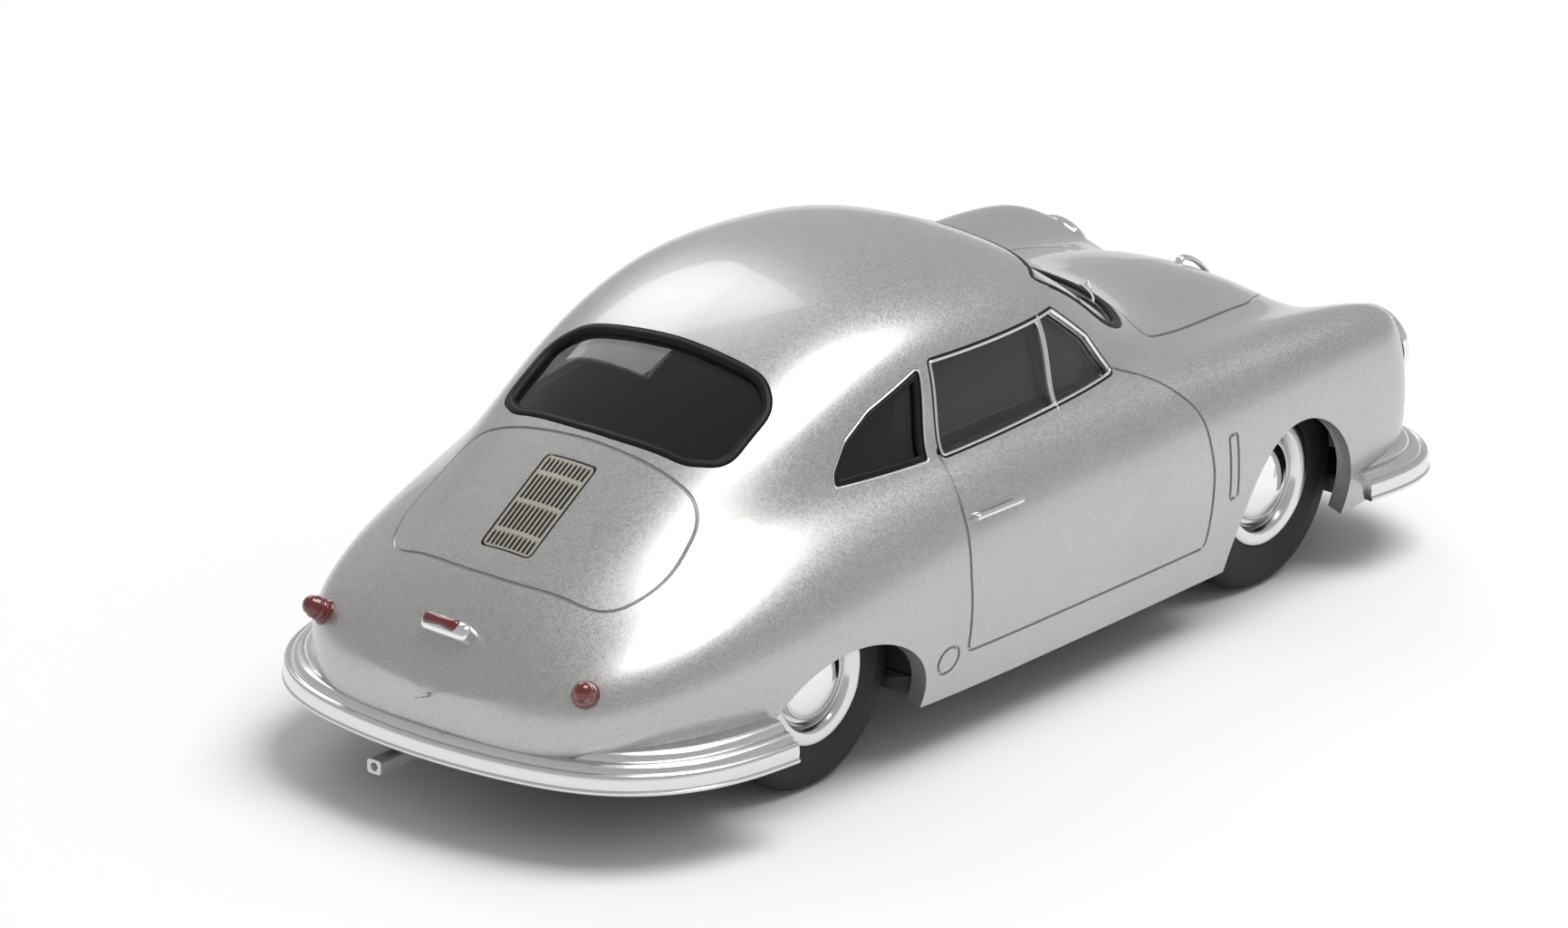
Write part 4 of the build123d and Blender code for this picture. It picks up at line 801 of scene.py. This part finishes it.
THICK_SEAL = half_round(0.04, -0.72, -0.35, 0.04)
bead("windscreen_bead", WINDSCREEN, SCREEN_RADIUS, "front", THICK_SEAL, SEAL, "seal_rubber",
     stands_for=("windscreen_seal",), **SCREEN)
bead("rear_window_bead", REAR_WINDOW, REAR_RADIUS, "plan", THICK_SEAL, SEAL, "seal_rubber",
     stands_for=("rear_window_seal",), **UPPER)
SIDE_WINDOWS = {
    "door": (DOOR_WINDOW, WINDOW_RADIUS, half_round(-0.12, -0.42, -0.3, 0.07),
             "door_window_rubber", half_round(0.03, -0.16, -0.3, 0.02)),
    "quarter": (QUARTER_WINDOW, QUARTER_RADIUS, half_round(0.02, -0.22, -0.3, 0.06),
                "quarter_rubber", half_round(-0.2, -0.75, -0.4, -0.1)),
}
VENT_BAR = [(2.7, 20.35), (3.87, 26.25)]
for name, side in SIDES.items():
    for kind, (corners, radius, bright, rubber, dark) in SIDE_WINDOWS.items():
        bead(f"{kind}_frame_{name}", corners, radius, "side", bright, CHROME, "bright_trim", side,
             (f"{kind}_window_frame_{name}",), **BESIDE)
        bead(f"{rubber}_{name}", corners, radius, "side", dark, SEAL, "seal_rubber", side, **BESIDE)
    path, normals = lay(np.linspace(*VENT_BAR, 24), "side", side, **BESIDE)
    strip = closed_ends(carried(path, normals, half_round(0.2, -0.2, -0.4, 0.02), closed=False))
    bar = surface(f"vent_bar_{name}", strip, wrap_columns=True, sharp_angle=0.9)
    finish_piece(bar, CHROME)


# %% [markdown]
# ## Bumpers
# Each bumper is one plated moulding: a plain blade with a thin lower lip, and above it two rounded
# ribs that lead back to the body.  Its section is carried round the end of the car, and the flange is made just
# deep enough at each place to reach the body.

# %% Bumpers
BUMPER_LINES = {
    "rear": [(-29.5, 19.8), (-34.5, 19.1), (-38.6, 17.4), (-42.3, 13.7), (-44.6, 7.0), (-45.2, 0)],
    "front": [(33.5, 19.6), (37.0, 19.9), (40.6, 19.2), (43.3, 16.6), (44.8, 11.0), (45.2, 0)],
}


def arc_points(a, b, bulge, steps=7):
    """Arc-like curve from a to b that leans to the left of the run by bulge."""
    a, b = np.asarray(a, float), np.asarray(b, float)
    s = np.linspace(0, 1, steps)[:, None]
    left = np.array([-(b - a)[1], (b - a)[0]]) / np.linalg.norm(b - a)
    return a + s * (b - a) + 4 * s * (1 - s) * bulge * left


FLANGE_START, FLANGE_BITE, PROBE_HEIGHT = -2.1, 0.35, 7.6


def bumper_section():
    """(out, height) of the lip, the blade, the two ribs and the flange, whose inner end is at out = -3."""
    lip = [[(-0.7, 5.7)], arc_points((-0.6, 5.6), (0.0, 5.6), 0.0, 3),
           arc_points((0.02, 5.6), (0.1, 5.82), -0.03, 4), [(0.0, 5.92)]]
    blade = [arc_points((-0.03, 5.98), (-0.05, 6.85), -0.05, 8),
             arc_points((-0.1, 6.93), (-0.3, 7.0), -0.03, 4), [(-0.42, 6.92)]]
    ribs = [arc_points((-0.5, 6.95), (-1.22, 7.5), -0.17, 9), [(-1.3, 7.42)],
            arc_points((-1.36, 7.45), (-2.05, 8.08), -0.17, 9)]
    flange = [[(FLANGE_START - 0.1, 8.02), (-3.0, 8.0), (-3.0, 7.1), (-1.0, 6.6)]]
    return np.vstack(lip + blade + ribs + flange)


def bumper_piece(end, line):
    """The section moved along a smooth plan line, with its flange drawn back to the body."""
    half = np.array(line)
    plan = evened(through(np.vstack([half, half[-2::-1] * [1, -1]]), 600), 0.45, closed=False)
    run = np.gradient(plan, axis=0)
    run /= np.linalg.norm(run, axis=1)[:, None]
    out = np.column_stack([run[:, 1], -run[:, 0]])
    out *= np.sign((out * plan).sum(axis=1).mean())
    section = bumper_section()
    probe = np.linspace(0, 3.2, 33)
    trial = (plan[:, None] - probe[None, :, None] * out[:, None]).reshape(-1, 2)
    distance, _ = skin_normals(np.column_stack([trial, np.full(len(trial), PROBE_HEIGHT)]))
    reach = probe[np.argmin(distance.reshape(-1, len(probe)), axis=1)] + FLANGE_BITE
    depth = section[:, 0][None] * np.ones((len(plan), 1))
    depth = np.where(depth < FLANGE_START, -np.maximum(reach, 2.2)[:, None], depth)
    grid = np.zeros((len(plan), len(section), 3))
    grid[:, :, :2] = plan[:, None] + depth[:, :, None] * out[:, None]
    grid[:, :, 2] = section[None, :, 1]
    piece = surface(f"{end}_bumper", closed_ends(grid), wrap_columns=True, sharp_angle=0.75)
    return finish_piece(piece, BUMPER_CHROME, stands_for=(f"bumper_{end}",))


for end, line in BUMPER_LINES.items():
    bumper_piece(end, line)


# %% [markdown]
# ## Wheels
# A wheel is turned: a smooth tyre with a raised sidewall ring, a polished rim ring with a rolled lip, a dark gap,
# and a domed hub cap that mirrors what is around it.  All of them are lathe profiles about the axle.

# %% Wheels
WHEELS = {"front": (27.1, 15.3), "rear": (-21.74, 15.0)}
AXLE_Z, TYRE_R, RIM_R, HUB_R, AXLE_R = 7.9, 7.9, 4.7, 1.55, 0.78
PROFILE_SPACING = 0.12


def wheel_profiles(face):
    """(radius, distance out) outlines of the tyre, the rim and the hub cap for a rim face at face."""
    back, disc = face - 3.4, face - 1.0
    seat = RIM_R - 0.02
    tyre = rounded([
        (seat, back + 0.12), (seat, face - 0.12), (5.2, face - 0.02), (5.9, face + 0.06),
        (6.1, face + 0.1), (6.3, face + 0.06), (7.1, face - 0.05), (7.6, face - 0.35),
        (TYRE_R, face - 0.95), (TYRE_R, back + 0.8), (7.6, back + 0.3), (7.1, back + 0.05),
        (5.4, back + 0.02)], 0.12, PROFILE_SPACING)
    rim = rounded([
        (AXLE_R, disc), (3.3, disc), (3.45, face - 0.5), (3.75, face - 0.16), (4.3, face - 0.03),
        (4.6, face - 0.02), (RIM_R, face - 0.2), (RIM_R, back + 0.05), (RIM_R - 0.5, back),
        (RIM_R - 0.9, disc - 0.8), (HUB_R, disc - 0.8), (HUB_R, back + 0.4),
        (AXLE_R, back + 0.4)], 0.08, PROFILE_SPACING)
    turn = np.linspace(0, np.pi / 2, 26)
    dome = np.column_stack([2.95 * np.cos(turn), disc + 0.42 + 0.88 * np.sin(turn) ** 1.1])
    flare = [(0.0, disc + 0.02), (2.6, disc + 0.02), (2.98, disc + 0.06), (3.0, disc + 0.2), (2.97, disc + 0.34)]
    return tyre, rim, np.vstack([flare, dome])


for end, (x, face) in WHEELS.items():
    body = f"{end}_wheels"
    for name, side in SIDES.items():
        parts = zip(("tyre", "rim", "hubcap"), wheel_profiles(face), (TYRE, RIM, MIRROR),
                    ("tyre_rubber", "wheel_rim", "hubcap_chrome"))
        for kind, profile, material, slot in parts:
            grid = lathe(profile, (x, 0, AXLE_Z), (0, side, 0), 120)
            turned = surface(f"{kind}_turned_{end}_{name}", grid, True, kind != "hubcap", sharp_angle=0.7)
            finish_piece(turned, material, body, (f"{kind}_{end}_{name}",))
    softened(f"axle_{end}", STEEL, body)


# %% [markdown]
# ## Lamps, handles and small trim
# These stand on the skin, so each is placed on the plane that touches the body there.

# %% Place on the skin
def touching(flat, seen, side=1.0, **region):
    """Point, normal, and the two directions along the skin: backwards-level and upwards."""
    point, normal = (row[0] for row in lay([flat], seen, side, **region))
    up = np.array([0, 0, 1.0]) - normal * normal[2]
    up /= np.linalg.norm(up)
    return point, normal, np.cross(up, normal), up


def pill(centre, across, up, out, half_length, half_width, low, high, power=2.6, waist=0.0):
    """Rounded bar.  Its outline is |a/W|^p + |b/W|^p = 1 pulled apart to the full length, and it
    shrinks as cos(t) while it rises as sin(t) over the last of its height."""
    turn = np.linspace(0, 2 * np.pi, 64, endpoint=False)
    c, s = np.cos(turn), np.sin(turn)
    stretch = max(0.0, half_length - half_width)
    a = half_width * np.sign(c) * np.abs(c) ** (2 / power) + stretch * np.sign(c)
    a = np.where(np.abs(c) < 1e-9, 0, a)
    b = half_width * np.sign(s) * np.abs(s) ** (2 / power)
    b = b * (1 - waist * np.exp(-(a / (0.25 * half_length)) ** 2))
    edge = 0.8 * half_width
    rise = np.linspace(0, np.pi / 2, 9)
    narrow = np.concatenate([[0.0, 1.0], np.cos(rise)])
    heights = np.concatenate([[low, low], high - edge + edge * np.sin(rise)])
    short = (half_length - edge * (1 - narrow)) / half_length
    short[[0, -1]] = 0.0
    return (np.asarray(centre) + (short[:, None] * a)[:, :, None] * across
            + (narrow[:, None] * b)[:, :, None] * up + heights[:, None, None] * out)


# %% Lamps and handles
def bullet(radius, length):
    """Lens profile: base ring, straight side with three faint ribs, and a rounded point."""
    height = np.linspace(0.25, length, 26)
    share = (height - 0.25) / (length - 0.25)
    ribs = 1 + 0.03 * np.sin(share * 18)
    point = np.column_stack([0.86 * radius * np.sqrt(np.maximum(0, 1 - share**2.6)) * ribs, height])
    stem = [(0, -0.8), (0.45, -0.8), (0.45, -0.12)]
    base = [(radius, -0.1), (1.01 * radius, 0.1), (0.9 * radius, 0.22)]
    return np.vstack([stem, base, point])


TAIL_LAMP, INDICATOR = (11.4, 11.8), (14.8, 9.6)
BRAKE_LAMP = (0.0, 13.5)
HANDLE, HANDLE_PIVOT = (-7.4, 16.7), (-9.3, 16.7)
LENS_RADIUS = 2.3
for name, side in SIDES.items():
    point, normal, _, _ = touching((TAIL_LAMP[0] * side, TAIL_LAMP[1]), "front", **TAIL)
    lens = surface(f"tail_lens_{name}", lathe(bullet(0.95, 1.7), point, normal, 48), wrap_rows=True)
    finish_piece(lens, RED, stands_for=(f"tail_lamp_{name}",))
    point, normal, _, _ = touching((INDICATOR[0] * side, INDICATOR[1]), "front", **NOSE)
    lens = surface(f"indicator_lens_{name}", lathe(bullet(0.75, 0.8), point, normal, 48), wrap_rows=True)
    finish_piece(lens, AMBER, stands_for=(f"indicator_{name}",))

    point, normal, across, up = touching(HANDLE, "side", side)
    bar = pill(point, across, up, normal, 2.35, 0.2, 0.3, 0.62, power=2.2)
    pivot, pivot_normal, _, _ = touching(HANDLE_PIVOT, "side", side)
    boss_profile = [(0, -0.5), (0.3, -0.5), (0.32, 0.1), (0.3, 0.3), (0.22, 0.4), (0, 0.42)]
    boss = lathe(boss_profile, pivot, pivot_normal, 32)
    handle = joined(f"door_bar_{name}", [(bar, False, True), (boss, True, False)])
    finish_piece(handle, CHROME, stands_for=(f"door_handle_{name}",))

    seat = lamp_seats[name]
    turn = np.linspace(0, np.pi / 2, 16)
    dome = np.column_stack([LENS_RADIUS * np.cos(turn), 0.3 + 0.6 * np.sin(turn)])
    lens_profile = np.vstack([[(0, -0.5), (LENS_RADIUS, -0.5)], dome])
    glass = surface(f"headlamp_lens_{name}", lathe(lens_profile, seat, LAMP_AXIS), wrap_rows=True)
    finish_piece(glass, LAMP, stands_for=(f"headlamp_glass_{name}",))
    rim_profile = rounded([(LENS_RADIUS, -0.3), (LAMP_RADIUS, -0.3), (LAMP_RADIUS, 0.3), (2.55, 0.58),
                           (LENS_RADIUS, 0.5)], 0.09, 0.08)
    rim = surface(f"headlamp_rim_{name}", lathe(rim_profile, seat, LAMP_AXIS), True, True, 0.8)
    finish_piece(rim, CHROME, stands_for=(f"headlamp_ring_{name}",))
    bowl = [(0, -2.1), (1.0, -2.0), (1.8, -1.6), (2.25, -0.55), (2.35, -0.55), (1.9, -1.7),
            (1.05, -2.1), (0, -2.2)]
    reflector = surface(f"headlamp_bowl_{name}", lathe(bowl, seat, LAMP_AXIS, 64), True, False)
    finish_piece(reflector, MIRROR)

point, normal, across, up = touching(BRAKE_LAMP, "front", **TAIL)
pod = pill(point, across, up, normal, 2.1, 0.65, -0.35, 1.05)
finish_piece(surface("brake_pod", pod, wrap_columns=True), CHROME,
             stands_for=("brake_lamp_housing",))
lens = pill(point - 0.3 * across + 0.12 * up, across, up, normal, 1.55, 0.475, 0.6, 1.25, waist=0.25)
finish_piece(surface("brake_lens", lens, wrap_columns=True), RED,
             stands_for=("brake_lamp_lens",))


# %% Wipers and bonnet handle
WIPER_FOOT, BLADE_HEEL, BLADE_TIP = np.array([4.8, 21.75]), np.array([5.6, 22.5]), np.array([10.9, 24.0])


def round_section(width, height, steps):
    """Points of an ellipse with the given half width and half height."""
    turn = np.linspace(0, 2 * np.pi, steps, endpoint=False)
    return np.column_stack([width * np.cos(turn), height * np.sin(turn)])


def wiper(side):
    """Arm and blade as thin tubes along the glass, on a small turned spindle."""
    grids = []
    for a, b, thick, rise in ((WIPER_FOOT, (BLADE_TIP + BLADE_HEEL) / 2, 0.11, 0.38),
                              (BLADE_HEEL, BLADE_TIP, 0.09, 0.2)):
        path, normals = lay(np.linspace(a, b, 30) * [side, 1], "front", **SCREEN)
        tube = carried(path + rise * normals, normals, round_section(thick, thick, 12), closed=False)
        grids.append((closed_ends(tube), False, True))
    foot, normal, _, _ = touching(WIPER_FOOT * [side, 1], "front", **SCREEN)
    spindle = [(0, -0.5), (0.26, -0.5), (0.28, 0.15), (0.2, 0.42), (0, 0.48)]
    return [*grids, (lathe(spindle, foot, normal, 32), True, False)]


finish_piece(joined("wiper_arms", wiper(1) + wiper(-1)), CHROME, stands_for=("wipers",))

turn = np.linspace(0, np.pi, 40)
feet, _ = lay([(36.5, 0.0), (40.1, 0.0)], "plan", **UPPER)
base_line = feet[0] + (feet[1] - feet[0]) * ((1 - np.cos(turn)) / 2)[:, None]
upwards = np.tile([0.0, 0.0, 1.0], (len(turn), 1))
crest = base_line + upwards * (1.05 * np.sin(turn) ** 0.8 - 0.25)[:, None]
loop = closed_ends(carried(crest, upwards, round_section(0.33, 0.2, 16), closed=False))
finish_piece(surface("bonnet_grip", loop, wrap_columns=True), CHROME,
             stands_for=("bonnet_handle",))


# %% [markdown]
# ## Parts whose CAD shape is right
# The base plate, screws, grille, exhaust and cabin keep their CAD shapes.  Most have their edges rounded a
# little so that they catch the light, and each has a finish of its own.

# %% Softened CAD parts
for kept, material, slot in (
        ("base_plate", CHASSIS, "chassis_plastic"), ("body_screws", STEEL, "screw_steel"),
        ("exhaust_pipe", EXHAUST, "exhaust_metal"),
        ("rear_view_mirror", CHROME, "bright_trim"), ("interior_tub", CABIN, "cabin_plastic"),
        ("dashboard", CABIN, "cabin_plastic"), ("steering_wheel", CONTROLS, "control_plastic"),
        ("gear_lever", CONTROLS, "control_plastic"), ("seat_left", SEATS, "seat_plastic"),
        ("seat_right", SEATS, "seat_plastic"), ("rear_bench", SEATS, "seat_plastic"),
        ("engine_grille", NICKEL, "grille_nickel"), ("grille_backing", DARK, "grille_dark")):
    sharp = kept in ("base_plate", "engine_grille", "grille_backing")
    softened(kept, material, bevel=0 if sharp else 0.04)


# %% [markdown]
# ## Stage, light and camera
# A plain pale floor, a large soft light overhead and pale surroundings that are a little darker above, so
# that the silver shows its shape.

# %% Stage
floor_mesh = bpy.data.meshes.new("floor")
floor_mesh.from_pydata([(-6, -6, 0), (6, -6, 0), (6, 6, 0), (-6, 6, 0)], [], [(0, 1, 2, 3)])
floor = bpy.data.objects.new("floor", floor_mesh)
bpy.context.scene.collection.objects.link(floor)
paper = bpy.data.materials.new("white paper")
paper.use_nodes = True
for key, value in (("Base Color", grey(0.92)), ("Roughness", 0.9), ("Specular IOR Level", 0.1)):
    paper.node_tree.nodes["Principled BSDF"].inputs[key].default_value = value
floor_mesh.materials.append(paper)
floor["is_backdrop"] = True

# %% Light
world = bpy.data.worlds.new("studio")
bpy.context.scene.world = world
world.use_nodes = True
sky = world.node_tree
height = node(sky, "SeparateXYZ", {0: node(sky, "TexCoord").outputs["Generated"]}).outputs[2]
ramp = node(sky, "ValToRGB", {0: height})
for stop, place, colour in zip(ramp.color_ramp.elements, (0.0, 0.9), (grey(0.52, 0.51, 0.5), grey(0.42))):
    stop.position, stop.color = place, colour
sky.links.new(ramp.outputs[0], sky.nodes["Background"].inputs["Color"])
sky.nodes["Background"].inputs["Strength"].default_value = 1.05


def area_light(name, place, aim, size, watts):
    """A square soft light that faces its aim."""
    lamp = bpy.data.lights.new(name, "AREA")
    lamp.shape, lamp.size, lamp.energy = "SQUARE", size, watts
    thing = bpy.data.objects.new(name, lamp)
    thing.location = place
    thing.rotation_euler = (Vector(aim) - Vector(place)).to_track_quat("-Z", "Y").to_euler()
    bpy.context.scene.collection.objects.link(thing)


area_light("overhead", (0.16, -0.24, 0.85), (0, 0, 0), 0.55, 5.6)
area_light("far_side", (0.35, 0.6, 0.6), (0, 0, 0.01), 0.35, 0.9)

# %% Camera
CAMERA_PLACE, CAMERA_AIM = np.array([-592.1, -478.5, 303.3]), np.array([-182.45, -143.37, 101.57])
CAMERA_ROLL, CAMERA_LENS, SENSOR_WIDTH = np.radians(0.53), 273.44, 36.0
forward = CAMERA_AIM - CAMERA_PLACE
forward /= np.linalg.norm(forward)
right = np.cross(forward, [0, 0, 1.0])
right /= np.linalg.norm(right)
upward = np.cross(right, forward)
right, upward = (np.cos(CAMERA_ROLL) * right + np.sin(CAMERA_ROLL) * upward,
                 -np.sin(CAMERA_ROLL) * right + np.cos(CAMERA_ROLL) * upward)
camera_data = bpy.data.cameras.new("camera")
camera_data.sensor_width, camera_data.lens, camera_data.clip_start = SENSOR_WIDTH, CAMERA_LENS, 0.05
camera = bpy.data.objects.new("camera", camera_data)
camera.matrix_world = Matrix([[*row, place] for row, place in zip(
    np.column_stack([right, upward, -forward]).tolist(), (CAMERA_PLACE * MM).tolist())] + [[0, 0, 0, 1]])
bpy.context.scene.collection.objects.link(camera)
bpy.context.scene.camera = camera
bpy.context.scene.view_settings.view_transform = "Standard"

# %% [markdown]
# ## Size and finish
# Both boxes, the CAD model's and the visual model's, are gathered, and the largest difference between them is
# printed. The visual model has to stay inside the CAD model's box.

# %% Sizes
visual_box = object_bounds()
sizes = {"cad": [list(corner) for corner in cad_box], "visual": [list(corner) for corner in visual_box]}
difference = np.abs(np.array(sizes["cad"]) - np.array(sizes["visual"])).max() / MM
print("largest difference, mm:", difference)
